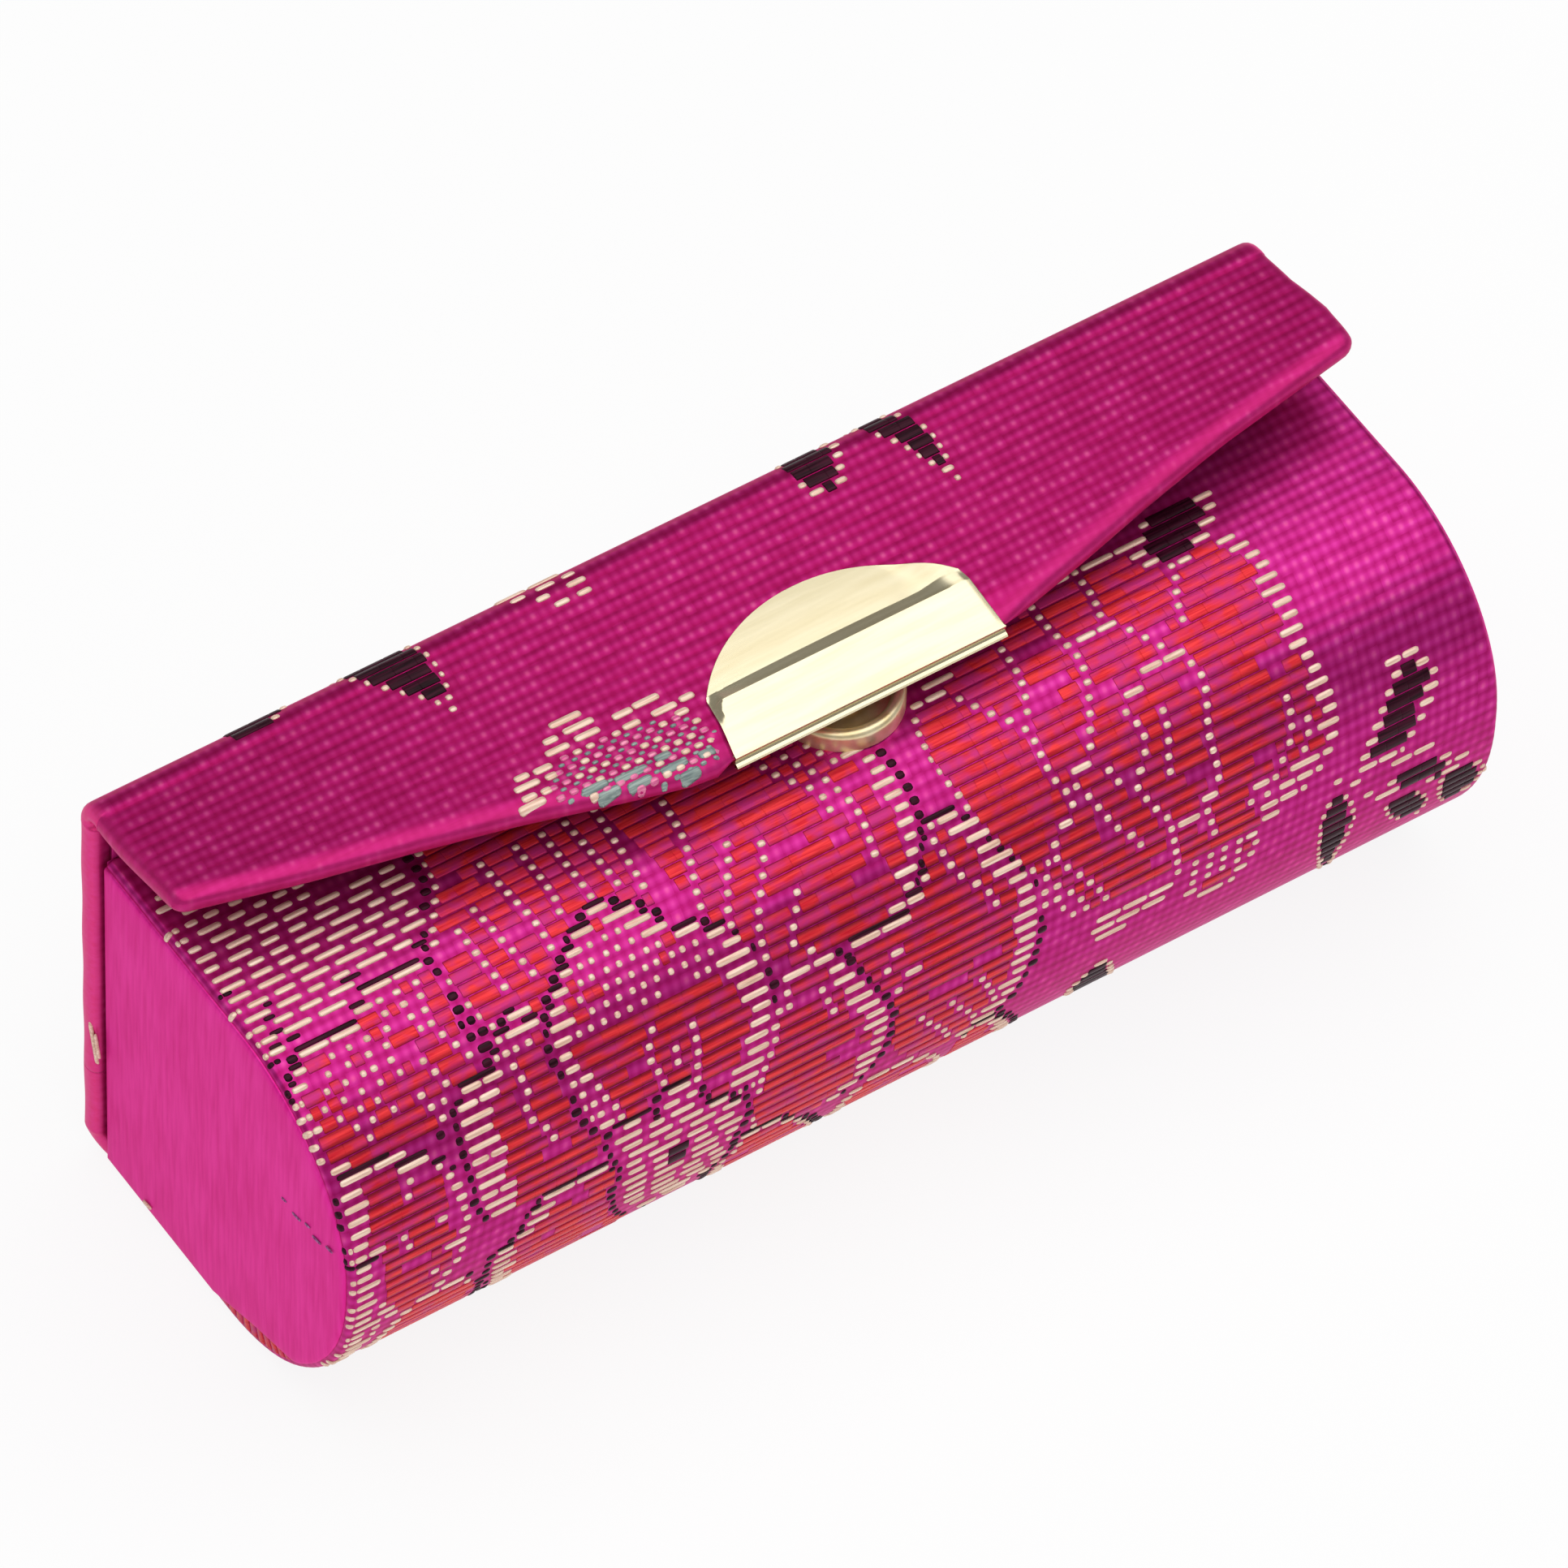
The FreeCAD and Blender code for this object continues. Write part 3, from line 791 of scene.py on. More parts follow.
def panel_lining():
    """The lining of the lid's inside, the crease and the flap's underside, one strip."""
    along = [("lid", z) for z in steps(LINING_FOOT, CREASE_Z, 1.2)[:-1]]
    along += [("crease", a) for a in steps(0.0, math.pi / 2, math.pi / 20)]
    along += [("flap", s) for s in steps(0.0, 0.93, 1 / 24)[1:]]

    def place(share, step):
        x = share * (HALF_PANEL - LINING_MARGIN)
        outer, inner, run, _ = panel_spot(x, step)
        if step[0] == "flap":
            inner = (min(inner[0], flap_front(x) - LINING_MARGIN), inner[1])
        proud = 0.22 / math.dist(outer, inner)
        reach, height = [i + proud * (i - o) for o, i in zip(outer, inner)]
        return at(x, reach, height), (x, run)

    cloth = lay_grid("lid_and_flap_lining", steps(-1, 1, 1 / 24), along, place)
    turn_over(cloth)
    apply_modifier(cloth, "SOLIDIFY", thickness=PANEL_LINING * MM, offset=-1.0)
    finish_piece(cloth, LINING)
    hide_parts("lid_lining", "flap_lining")
    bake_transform(cloth)


def hinge_lining():
    """The strip of lining across the inside of the hinge."""
    path = [(5.0, 2.62), (4.0, 2.62), (3.3, 2.68), (2.75, 2.86), (2.4, 3.2), (2.22, 3.7), (2.16, 4.3),
            (2.14, 5.0)]

    def place(x, k):
        return at(x, *path[k]), (x, k)

    half = LINING_END - 0.6
    cloth = lay_grid("hinge_lining", steps(-half, half, 6.0), range(len(path)), place)
    apply_modifier(cloth, "SUBSURF", levels=2, render_levels=2)
    apply_modifier(cloth, "SOLIDIFY", thickness=HINGE_LINING * MM, offset=0.0)
    finish_piece(cloth, LINING)
    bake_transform(cloth)
    return cloth


case_cloth()
end_cloths()
trough_lining(hems=[rim_binding(), hinge_lining()])
lid_and_flap_cloth()
hinge_cloth()
panel_lining()


# The clasp
def clasp_half(reach):
    """The clasp's half width: an arc, then the strip's slightly flared sides."""
    if reach < STRIP_START:
        return math.sqrt(max(0.0, MOON_RADIUS ** 2 - (MOON_CENTRE - reach) ** 2))
    return STRIP_HALF + STRIP_FLARE * (reach - STRIP_START) / STRIP_DEPTH


def clasp_height(x, reach):
    """The plate's top: a little domed, up the ridge's rear and left slopes, and down the strip.

    At its right end the half-moon comes up to the ridge, which ends there."""
    half = clasp_half(max(reach, STRIP_START))
    ridge = ease((x - CLASP_X + half) / 0.9)
    rear = clamp((reach - RIDGE_FOOT) / (RIDGE_TOP - RIDGE_FOOT))
    dome = PLATE_Z - DOME * ((x - CLASP_X) ** 2 + (reach - STRIP_START) ** 2)
    dome += (RIDGE_Z - dome) * ease((x - CLASP_X - half + 3.6) / 2.8)
    return min(dome + ridge * rear * (RIDGE_Z - dome), RIDGE_Z - RIDGE_SLOPE * (reach - RIDGE_TOP))


def clasp():
    """The stamped half-moon plate with its ridge, sloping strip and front edge folded under."""
    fold = [(19.94, -0.12), (19.95, -0.26), (19.88, -0.42), (19.86, -0.58), (19.94, -0.7), (20.08, -0.75),
            (20.18, -0.83), (20.2, -0.93), (20.14, -1.04), (20.0, -1.13), (19.2, -1.16), (18.4, -1.16)]
    arc_end = math.asin(STRIP_HALF / MOON_RADIUS)
    reaches = [MOON_CENTRE - MOON_RADIUS * math.cos(a) for a in steps(0.02, arc_end, 0.05)[:-1]]
    reaches += [15.0, 15.2, 15.25, 15.3, 15.5, 15.8, 16.1, 16.3, 16.35, 16.4, 16.55, 16.8, 17.2, 17.7, 18.4,
                19.2, STRIP_END]
    along = [("plate", t) for t in reaches] + [("fold", k) for k in range(len(fold))]
    near = [1.0, 0.994, 0.985, 0.97, 0.955, 0.94, 0.925, 0.91, 0.895, 0.88, 0.86, 0.83, 0.78, 0.7, 0.6, 0.45,
            0.3, 0.15]
    across = [-s for s in near] + [0.0] + list(reversed(near))
    front = clasp_height(CLASP_X, STRIP_END)

    def place(share, step):
        part, value = step
        reach, height = (value, 0.0) if part == "plate" else fold[value]
        x = CLASP_X + share * clasp_half(min(reach, 20.0))
        if part == "plate":
            # the strip's ends are pressed down a little
            rim = 0.1 * max(0.0, abs(share) - 0.96) / 0.04 if reach > STRIP_START else 0.0
            return at(x, reach, clasp_height(x, reach) - rim), (x, reach)
        return at(x, reach, front + height), (x, reach)

    plate = lay_grid("clasp", across, list(reversed(along)), place)
    apply_modifier(plate, "SOLIDIFY", thickness=CLASP_SHEET * MM, offset=-1.0, use_even_offset=True)
    apply_modifier(plate, "BEVEL", width=0.09 * MM, segments=3, limit_method="ANGLE",
                   angle_limit=math.radians(55))
    finish_piece(plate, CLASP_GOLD, sharp=28)
    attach(plate, "flap")
    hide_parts("clasp_plate")


clasp()


# The woven pattern
# Peonies, leaves and small flowers, drawn as outlines and veins in millimetres along the cloth (x, run)
# and then woven row by row: a line that runs across the rows becomes dots, one along them a dash.
ROW_MIDDLE = ROW_SHIFT + ROW / 2
LID_TURN = 2 * ROW_MIDDLE - 3 * ROW   # a place's run on the lid's back is this less its run on the case
PANEL_WOVEN = HALF_PANEL - 1.2        # lid and flap have no floats past this, where their edges are wrapped
STEP = 0.05               # fineness of the weaving along a row
SHORTEST = 0.4            # shorter floats aren't woven
GAP = 0.1                 # bare ground left beside veins, dots and red floats
DOT = 0.33                # least half length of a float on a vein
DARK_OFTEN = 0.9          # share of the rows in which a dark side shows
DARK_LENGTH = (0.5, 0.9)  # shortest and longest float of a dark side
FRINGE_VARIES = (0.6, 1.15)           # a fringe's floats, least and most, by the fringe's width
EDGE_WIDTH = 0.4          # width of the dark floats over a petal's upper edge, and of the dark marks
PATTERN_HALF = HALF_LENGTH + 0.4      # half length of the cloth that the case's pattern is woven on
LEAF_WIDTH = 0.93         # width of the dark floats in leaves
LEAF_OVERLAP = 0.05       # and how far they overlap
BLUNT_WIDTH = 0.8         # wider floats have blunt ends
DASH_WIDTH = 0.6          # width of the gold dashes on the flap, and of the grey ones
GREY_WIDTH = 0.66
BARE, RED, GOLD, DARK, PINK, GREY = range(6)
# each thread's longest float, width and how far its ends stay back
WIDTHS = {RED: (12.0, 0.92, -0.07), GOLD: (2.7, 0.5, 0.07), DARK: (2.4, 0.62, 0.07),
          PINK: (3.0, 0.44, 0.07), GREY: (2.0, 0.4, 0.07)}
Petal = namedtuple("Petal", "shape kind left right dark")
CASE_PETALS = [
    # (outline, fill, width of the gold fringe left and right, sides with a dark edge)
    # left flower: broad gold petal, dotted petal and lower petals
    ([(-46, 4), (-40, 3), (-33, 4), (-28, 7), (-26.5, 9.5), (-28.2, 12.6), (-29.8, 14.6), (-31.2, 16.4),
      (-36.2, 16.6), (-37.4, 17.3), (-38.4, 18.4), (-42.6, 18.5), (-43.4, 19), (-46, 19)],
     "dashes", 0, 0, ""),
    ([(-28, 9), (-24, 6.5), (-19, 6.5), (-16.5, 9), (-15.9, 17), (-16.3, 20), (-17, 23), (-22, 26),
      (-27, 27), (-31, 24), (-31.9, 19), (-31, 16.5), (-29.6, 14.6), (-28, 12.4)], "red", 0.7, 0, "left"),
    ([(-45.6, 24), (-44.6, 21.8), (-43.6, 20.4), (-42.4, 19.4), (-38.4, 19.2), (-37.6, 18.2), (-36, 17.4),
      (-32.4, 17.2), (-32, 18.5), (-32.2, 21), (-32.6, 23.3), (-31.6, 25.6), (-34, 26.2), (-35, 27),
      (-35.8, 28), (-37, 28.6), (-38.5, 29), (-42, 28.2), (-45, 28)], "dots", 1.6, 0, "left top right"),
    ([(-44.4, 28), (-41.5, 28.2), (-38.5, 29), (-36.5, 30.3), (-35.8, 32.5), (-35.6, 36), (-36.5, 40),
      (-39, 43), (-43, 43), (-44.8, 39), (-45, 34), (-44.6, 31)], "red", 2.6, 0.9, "left top"),
    ([(-46, 34.6), (-43, 34.4), (-42.3, 36.5), (-42, 40), (-42.3, 45), (-44, 50), (-46, 50)],
     "dashes", 0, 0, "top"),
    # middle left petals
    ([(-35, 26.4), (-31.5, 26.2), (-30, 23.7), (-28, 23.6), (-26.8, 25), (-27.2, 28), (-26.5, 31),
      (-25.5, 33.5), (-26, 36), (-31, 37), (-34.8, 37), (-35.2, 31)], "red", 3.0, 0, "left top"),
    ([(-26.8, 30), (-27.4, 26.5), (-26.3, 24), (-24.6, 22.6), (-23, 21), (-21.8, 19.8), (-18.8, 19.7),
      (-17.5, 21), (-16.6, 22.8), (-14.6, 23.6), (-12.5, 24.6), (-11.9, 27), (-11.6, 30), (-12.5, 32.5),
      (-13.8, 36), (-17, 37), (-22, 36), (-25.5, 34), (-26.6, 32)],
     "base dots", 1.8, 2.4, "left top right"),
    ([(-34, 41), (-31.6, 40), (-31, 37), (-25.5, 36.4), (-24.3, 39), (-23, 44), (-21.5, 50), (-24, 66),
      (-30, 66), (-32, 50), (-33.5, 45)], "red", 1.8, 0, "left top"),
    ([(-41, 42.5), (-37, 41), (-35, 43), (-34, 48), (-33, 66), (-40, 66), (-42.5, 48)],
     "red", 1.0, 0, "right"),
    # middle peony
    ([(-16, 12), (-13.5, 8), (-8, 6), (-3, 7.5), (1, 15.5), (2.2, 19), (2.4, 22.5), (1.8, 25), (0.5, 27.5),
      (-1, 29), (-6, 29.3), (-10, 28.8), (-12, 26), (-14.2, 23), (-14.8, 19)], "red", 0, 1.7, "right"),
    ([(2.4, 24.2), (4, 24), (5.4, 24.8), (6.2, 27), (7.5, 29.2), (8.4, 31), (8.3, 34), (7.8, 37), (6.8, 40),
      (5.2, 42.5), (2, 44), (-1, 43), (-3.2, 40), (-3.4, 36), (-4.5, 33), (-6.4, 30.5), (-5, 29), (-1, 29),
      (1.5, 27)], "red", 0, 2.0, "top right"),
    ([(-11.5, 30.8), (-10.5, 29), (-8.5, 28.4), (-7, 28.9), (-6.2, 30.2), (-5.2, 32), (-4.2, 34),
      (-3.4, 36.2), (-3.8, 39), (-5, 42), (-8, 44), (-12, 43.5), (-14.5, 41), (-14.8, 37), (-13.2, 34)],
     "red", 0.9, 1.9, "right"),
    ([(-15, 42), (-12.8, 41.2), (-10, 43), (-8.2, 46), (-6.5, 50), (-6, 66), (-13, 66), (-15, 50),
      (-16.2, 46)], "red", 1.2, 0.8, "left top right"),
    # small flower
    ([(-25, 36), (-25.3, 34.2), (-22, 34), (-21.2, 35), (-20.9, 32.9), (-18.5, 32.9), (-18, 35.4),
      (-16.4, 36), (-14.8, 37), (-14.6, 39.4), (-15.6, 41.4), (-15.4, 44), (-18, 47), (-22, 47),
      (-23.8, 44), (-24.6, 40.6), (-23.8, 38.6)], "dashes", 0, 0, "left top right"),
    ([(-20.6, 39.4), (-20.2, 38.3), (-19.2, 38.3), (-18.9, 39.6), (-19.4, 40.6), (-20.4, 40.5)],
     "leaf", 0, 0, ""),
    ([(-6.5, 43.5), (-2, 42.5), (1, 44), (3, 48), (2.6, 66), (-4, 66), (-6, 50)], "red", 1.0, 1.0, ""),
    ([(2.6, 43.2), (5.5, 42.6), (7, 45), (8.8, 50), (10, 66), (5, 66), (3.4, 49)],
     "red", 0, 1.6, "top right"),
    # right peony
    ([(6.5, 16.2), (9, 15.5), (14, 13), (21, 12), (26, 12.5), (30, 14.5), (32.6, 15.8), (33.1, 19),
      (32.9, 23), (32.4, 25), (33, 28), (32.8, 31), (31.5, 33), (29, 34.8), (26.5, 35.6), (20, 36.2),
      (11, 36.2), (9.4, 33.5), (8.7, 31), (7, 29), (5.8, 26), (5, 23), (4.8, 20), (5.5, 17.5)],
     "red", 0.7, 1.7, ""),
    ([(19.6, 36.4), (26, 35.6), (25.6, 38.5), (23.4, 41), (21, 40.3)], "dots", 0.9, 0.9, ""),
    # leaves
    ([(24.5, 14.8), (26.5, 11.8), (33.4, 11), (32.6, 13.6), (30.5, 15.2), (27.5, 15.4)],
     "leaf", 1.3, 1.4, ""),
    ([(33.1, 35.4), (34.4, 33), (36.3, 30.5), (37.5, 29), (39.8, 28.9), (40.9, 30.4), (40.2, 32.2),
      (38.3, 34.3), (36.6, 36.1), (34, 36)], "leaf", 1.3, 1.3, ""),
    ([(35.6, 38.2), (37.2, 37.2), (39.8, 37.4), (42, 39.2), (41.8, 40.4), (39, 40.2), (36.6, 39.6)],
     "leaf", 1.0, 1.0, ""),
    ([(35.8, 40.2), (38.2, 40.4), (40, 42), (40.4, 45.2), (38.2, 44.8), (36.4, 42.6)],
     "leaf", 0.8, 0.6, ""),
    ([(40.2, 40.4), (42, 40), (44.2, 41), (45.2, 43), (44.2, 45.4), (41.6, 45.6), (40.6, 43)],
     "leaf", 0.6, 0.9, ""),
    ([(30.4, 38.8), (31, 36.8), (32.8, 36.8), (33.7, 39), (33.7, 42), (33.3, 44.5), (33.6, 47), (35.2, 51),
      (36.6, 54), (34.2, 51.5), (32.2, 47), (30.9, 43)], "leaf", 0.6, 0.6, ""),
    ([(11.6, 45.5), (13.2, 42.8), (14.8, 43), (15.8, 46), (17.2, 50), (18.6, 54), (15.8, 52.5), (12.6, 49)],
     "leaf", 0.9, 0.8, ""),
    ([(41, 54.5), (42.5, 52), (45.5, 52.5), (46, 57), (42, 57)], "leaf", 0.9, 0.9, ""),
]
CASE_VEINS = [
    # right peony
    [(13.8, 13), (13.8, 17.5), (13.2, 19.8), (12.1, 21.6), (11.9, 25), (12.4, 26.5), (13, 27.3),
     (12.3, 28.3), (10.9, 29), (9.9, 30.2), (9.2, 31.5), (8.9, 33)],
    [(7, 16.8), (9, 17.2), (9.5, 18.5), (10.2, 19.5), (11, 20.6), (12.1, 21.6)],
    [(17.5, 13), (17.3, 16.5), (17.9, 18.5), (17.6, 20.5), (16.6, 22.3), (15.6, 24.2), (15, 25.5),
     (13.2, 26.0)],
    [(18.2, 17.6), (21.4, 17.9), (22.2, 19.2), (23.1, 20.8), (24.3, 22.2), (24.8, 23.8), (24.2, 25.5),
     (23.4, 27), (23.3, 29.5), (23.2, 31), (21.8, 32), (18.8, 32.1), (18.2, 30.3), (17.5, 29), (16.5, 28),
     (15.9, 27)],
    [(24.6, 21.6), (21.5, 21.9), (19.8, 22.7), (18.2, 23.6), (19.3, 24.6), (19.2, 25.8), (18.5, 27.2),
     (17.3, 28.2)],
    [(21.1, 25), (20.8, 26.2), (20.2, 27.4), (19.9, 28.4)],
    [(13.1, 26.2), (14.2, 28), (14.6, 29.5), (15.4, 30.9), (16.6, 32.0)],
    [(19, 32.4), (19.1, 34), (19.2, 36)], [(21.8, 32.4), (22.2, 34.4)],
    [(21.5, 13), (21.4, 15.5), (20.8, 17)], [(26.4, 15.7), (28.9, 15.9)],
    [(27.2, 16.4), (26, 18.2), (25.4, 20)], [(29.6, 27.5), (29.3, 30), (27.6, 32), (25, 33)],
    [(28.4, 31), (26.6, 33.2), (25.6, 34.4)], [(30.6, 29.4), (30.2, 31), (29, 32.4)],
    [(9.2, 31.6), (11, 33.4), (12, 35)], [(10.2, 30.4), (12.2, 33), (13.6, 35.2)],
    [(12.6, 37.3), (19, 37.3)], [(12.2, 38.3), (18.4, 38.3)], [(12.6, 39.2), (15.4, 39.2)],
    [(28.2, 32.4), (30.9, 32.4)], [(27.2, 33.4), (30.2, 33.4)], [(25.6, 34.4), (28.9, 34.4)],
    [(20.6, 36.5), (20.4, 38.5)], [(21.8, 36.5), (21.6, 38.5)], [(22.9, 36.5), (22.8, 38.5)],
    [(24.1, 36.5), (24, 38.5)], [(19.6, 39.3), (21, 39.3)], [(20.8, 40.2), (23.2, 40.2)],
    [(23.6, 39.3), (25, 39.3)],
    # gold bars round the leaves
    [(36.8, 28.5), (39.8, 28.5)], [(33.4, 35.4), (36.8, 35.4)], [(36, 36.4), (39.8, 36.4)],
    [(34.9, 39.2), (37.2, 39.2)], [(40, 38.3), (41.3, 38.3)], [(41.3, 39.2), (42.8, 39.2)],
    [(31.4, 35.4), (32.4, 35.4)], [(32.7, 36.4), (33.9, 36.4)], [(33.9, 38.3), (35, 38.3)],
    # middle peony
    [(-11.9, 15), (-12.4, 18.5), (-13, 20), (-13.6, 21.5), (-14, 23)],
    [(-10, 20), (-11, 21.2), (-11.6, 22.3), (-12.6, 24.2)],
    [(-8, 21), (-8.8, 22.3), (-9.5, 23.3), (-10.2, 24.2), (-11, 25.5), (-11.3, 27.6)],
    [(-7.3, 24.7), (-8.2, 25.7), (-8.8, 26.8), (-9.3, 27.8)],
    [(-5, 15), (-4.5, 17.2), (-3.5, 18.3), (-2.6, 19.2), (-2.8, 21.2)],
    [(-3.6, 14), (-3, 17), (-2, 18.1), (-1.5, 20), (-1, 21.5), (-1.5, 24.5)],
    [(-1.8, 14), (-1.4, 16.5), (-0.4, 18)],
    [(3, 24.7), (2.4, 25.8), (3.2, 26.8), (3, 27.8), (3.6, 28.8), (5, 29.8), (5.5, 31.8)],
    [(-1.7, 31.6), (-3, 31.8), (-3.6, 32.8)], [(-0.6, 33.6), (-2.4, 33.8), (-3.2, 34.7)],
    [(-10.6, 30.8), (-10.8, 31.8)], [(-12, 33.6), (-13, 34.6), (-13.6, 36.8)], [(-8.2, 31.8), (-7.6, 33)],
    [(3.6, 36.8), (4.4, 38.6), (5, 40)], [(1.2, 37.8), (2.4, 39.6), (3.6, 41)],
    [(-1.2, 38), (0.4, 40), (1.6, 41.8)],
    # middle left
    [(-28.9, 17), (-28.7, 20.1), (-28.3, 22)], [(-27.1, 16), (-26.8, 19.1), (-26.1, 22)],
    [(-24.7, 13), (-24.4, 17), (-24.1, 19.1), (-24.3, 21)], [(-22, 13), (-22, 18.1), (-22.6, 19.2)],
    [(-20, 13), (-20, 19)], [(-18.2, 13), (-18, 18), (-17.9, 19.2)],
    [(-16, 13), (-16.4, 17), (-16.6, 20.2)],
    [(-30.4, 24.8), (-30.2, 27), (-29.6, 28.8), (-31, 29.7), (-29.8, 30.8), (-29, 32)],
    [(-29, 25.7), (-28.2, 25.8)], [(-26.8, 29.8), (-26, 31), (-25.4, 32)],
    [(-20.2, 28.6), (-21.4, 29.8), (-21, 31), (-20.6, 32)], [(-19.2, 30.8), (-19.4, 31.9)],
    [(-17.6, 29.7), (-17.7, 31), (-17.8, 32), (-18.2, 33)], [(-25.2, 30.8), (-24, 33)],
    # left flower
    [(-36.1, 18.4), (-36.2, 20), (-37, 21.2), (-37.8, 22.2), (-37.4, 23.2)],
    [(-38, 20.6), (-39, 22), (-38.8, 23.2)],
    [(-33.2, 18.4), (-33.7, 20), (-34.1, 21.9), (-33.5, 22.9), (-33.2, 23.8), (-32.4, 24.9)],
    [(-34.8, 18.4), (-34.9, 20.4)], [(-35.8, 23.4), (-35.2, 24.8), (-34.8, 25.6)],
    [(-36.9, 25.4), (-36.4, 26.8), (-35.8, 27.8)], [(-38.4, 33.9), (-37.3, 33.9)],
    [(-40.2, 31.7), (-39.4, 30.7)], [(-37.4, 30.8), (-36.3, 31.8)], [(-40.8, 34.8), (-40.2, 35)],
    [(-38, 37.2), (-36, 37.4)], [(-39, 39), (-37, 40.4)],
]
FLAP_PETALS = [
    ([(-27, -2), (-26.2, 0.9), (-25.3, 2.3), (-24.2, 3.8), (-23.1, 5), (-22.2, 6.4), (-21.5, 8.1),
      (-20.9, 6.2), (-20.3, 4.4), (-20.2, 2.5), (-20.4, 0.5), (-21.5, -2)], "leaf", 0.6, 0.6, ""),
    ([(13, -2), (13.6, 0.6), (14.3, 2.3), (15, 3.4), (15.6, 4.9), (15.9, 6), (16.3, 7), (16.9, 8.8),
      (17.5, 6.8), (17.8, 5.2), (17.9, 3.4), (17.5, 2), (16.6, 0.6), (15, -2)], "leaf", 0.6, 0.6, ""),
    ([(7.4, 0.5), (7.6, 2), (7.7, 3.6), (8, 5), (10.6, 5), (11.2, 3.6), (11.9, 2.4), (12.4, 0.8),
      (11, -0.5), (8.6, -0.6)], "leaf", 0.6, 0.8, ""),
    ([(-35.6, 0.8), (-33, -0.6), (-29.6, -0.4), (-30.6, 1.4), (-33.6, 2)], "leaf", 0, 0.7, ""),
    ([(-15.2, 0.4), (-11, -0.4), (-8.4, 0.6), (-8, 3.8), (-10.8, 4), (-12, 2.2)], "bud", 1.6, 1.6, ""),
]
FLAP_LATTICE = [
    (-20.2, 17.6), (-19.6, 15.9), (-18.4, 14.3), (-14.2, 14.2), (-11.5, 14.9), (-8.2, 15.6), (-8.2, 20),
    (-12, 19.8), (-16, 18.8),
]
# the gold dashes of the flower round the lattice: start, end and run
FLAP_DASHES = [
    (-17.1, -14.7, 11.8), (-18.2, -17.1, 12.8), (-16.6, -14.3, 12.7), (-18.6, -16.8, 13.7),
    (-16.3, -14.4, 13.6), (-13.2, -11.7, 13.3), (-11.6, -9.6, 13.2), (-21.5, -20.4, 14.5),
    (-20.1, -18.7, 14.6), (-22, -20.1, 15.3), (-19.7, -18.8, 15.4), (-10.9, -9, 14.4), (-8.7, -7.6, 14.3),
    (-13.1, -11.8, 14.4), (-9.6, -8.6, 15.2), (-22, -20.9, 16.2), (-20.6, -19.8, 16.3),
    (-22.6, -20.6, 16.8),
]
FLAP_VEINS = [[(7.8, 4.4), (9.2, 4.4)], [(9.8, 4.4), (11, 4.4)]]
# grey dashes along the flap's edge: start, end and distance from the edge
GREY_DASHES = [
    (-18.3, -16.4, 0.9), (-16.0, -13.5, 1.3), (-12.8, -11.6, 2.1), (-17.6, -15.9, 0.3), (-15.5, -13.7, 0.5),
    (-13.0, -11.0, 1.1), (-12.1, -10.6, 0.3), (-10.2, -8.9, 1.3),
]
# single dark floats in the left flower: start, end and run
DARK_MARKS = [
    (-44.8, -43.8, 13.3), (-42.7, -42.1, 15.4), (-43.3, -42.5, 16.4), (-43.6, -42.6, 17.6),
    (-44.2, -43.3, 18.5), (-42.9, -41.9, 18.5), (-45, -44, 19.5), (-37.5, -36, 16.4), (-32.1, -31, 16.4),
]


def smooth_line(points, closed):
    """Rounds a drawn line off by cutting its corners twice."""
    for _ in range(2):
        ends = points[1:] + points[:1] if closed else points[1:]
        cut = []
        for (ax, av), (bx, bv) in zip(points, ends):
            cut += [(0.75 * ax + 0.25 * bx, 0.75 * av + 0.25 * bv),
                    (0.25 * ax + 0.75 * bx, 0.25 * av + 0.75 * bv)]
        points = cut if closed else [points[0]] + cut + [points[-1]]
    return points


def inside(shape, xs, run):
    """Which places of a row lie within an outline."""
    hits = np.zeros(len(xs), bool)
    for (ax, av), (bx, bv) in zip(shape, shape[1:] + shape[:1]):
        if (av > run) != (bv > run):
            hits ^= xs < ax + (run - av) / (bv - av) * (bx - ax)
    return hits


def spans(mask):
    """Runs of true values as (first, past last) pairs."""
    edges = np.flatnonzero(np.diff(np.concatenate(([0], mask.astype(np.int8), [0]))))
    return list(zip(edges[::2], edges[1::2]))


def crossings(line, run):
    """Where a drawn line passes a row, as (middle, half length) pairs."""
    found, touched = [], []
    off_the_cloth = ((0, -999), (0, -999))      # ends a crossing that the line's last part is in
    for (ax, av), (bx, bv) in [*zip(line, line[1:]), off_the_cloth]:
        low, high = min(av, bv), max(av, bv)
        if high < run - ROW / 2 or low > run + ROW / 2:
            if touched:
                found.append(((min(touched) + max(touched)) / 2, (max(touched) - min(touched)) / 2))
            touched = []
        elif high - low < 1e-6:
            touched += [ax, bx]
        else:
            for edge in (max(low, run - ROW / 2), min(high, run + ROW / 2)):
                touched.append(ax + (edge - av) / (bv - av) * (bx - ax))
    return found


def cells(length):
    """A length as a count of weaving steps."""
    return max(1, round(length / STEP))


def lay_petal(code, petal, xs, run, rng):
    """Clears a petal's part of a row and lays its fringes and dark sides; gives its inside and upper edge."""
    here = inside(petal.shape, xs, run)
    fresh = here & ~inside(petal.shape, xs, run - ROW)
    code[here] = BARE
    for a, b in spans(here):
        if "left" in petal.dark and rng.random() < DARK_OFTEN:
            code[max(0, a - cells(rng.uniform(*DARK_LENGTH))):a] = DARK
        if "right" in petal.dark and rng.random() < DARK_OFTEN:
            code[b:b + cells(rng.uniform(*DARK_LENGTH))] = DARK
        if petal.left:
            code[a:a + cells(petal.left * rng.uniform(*FRINGE_VARIES))] = GOLD
        if petal.right:
            code[b - min(b - a, cells(petal.right * rng.uniform(*FRINGE_VARIES))):b] = GOLD
    if (petal.left or petal.right) and petal.kind != "leaf":
        for a, b in spans(fresh):
            if b - a > cells(0.5):
                code[a:b] = GOLD
    return here, fresh


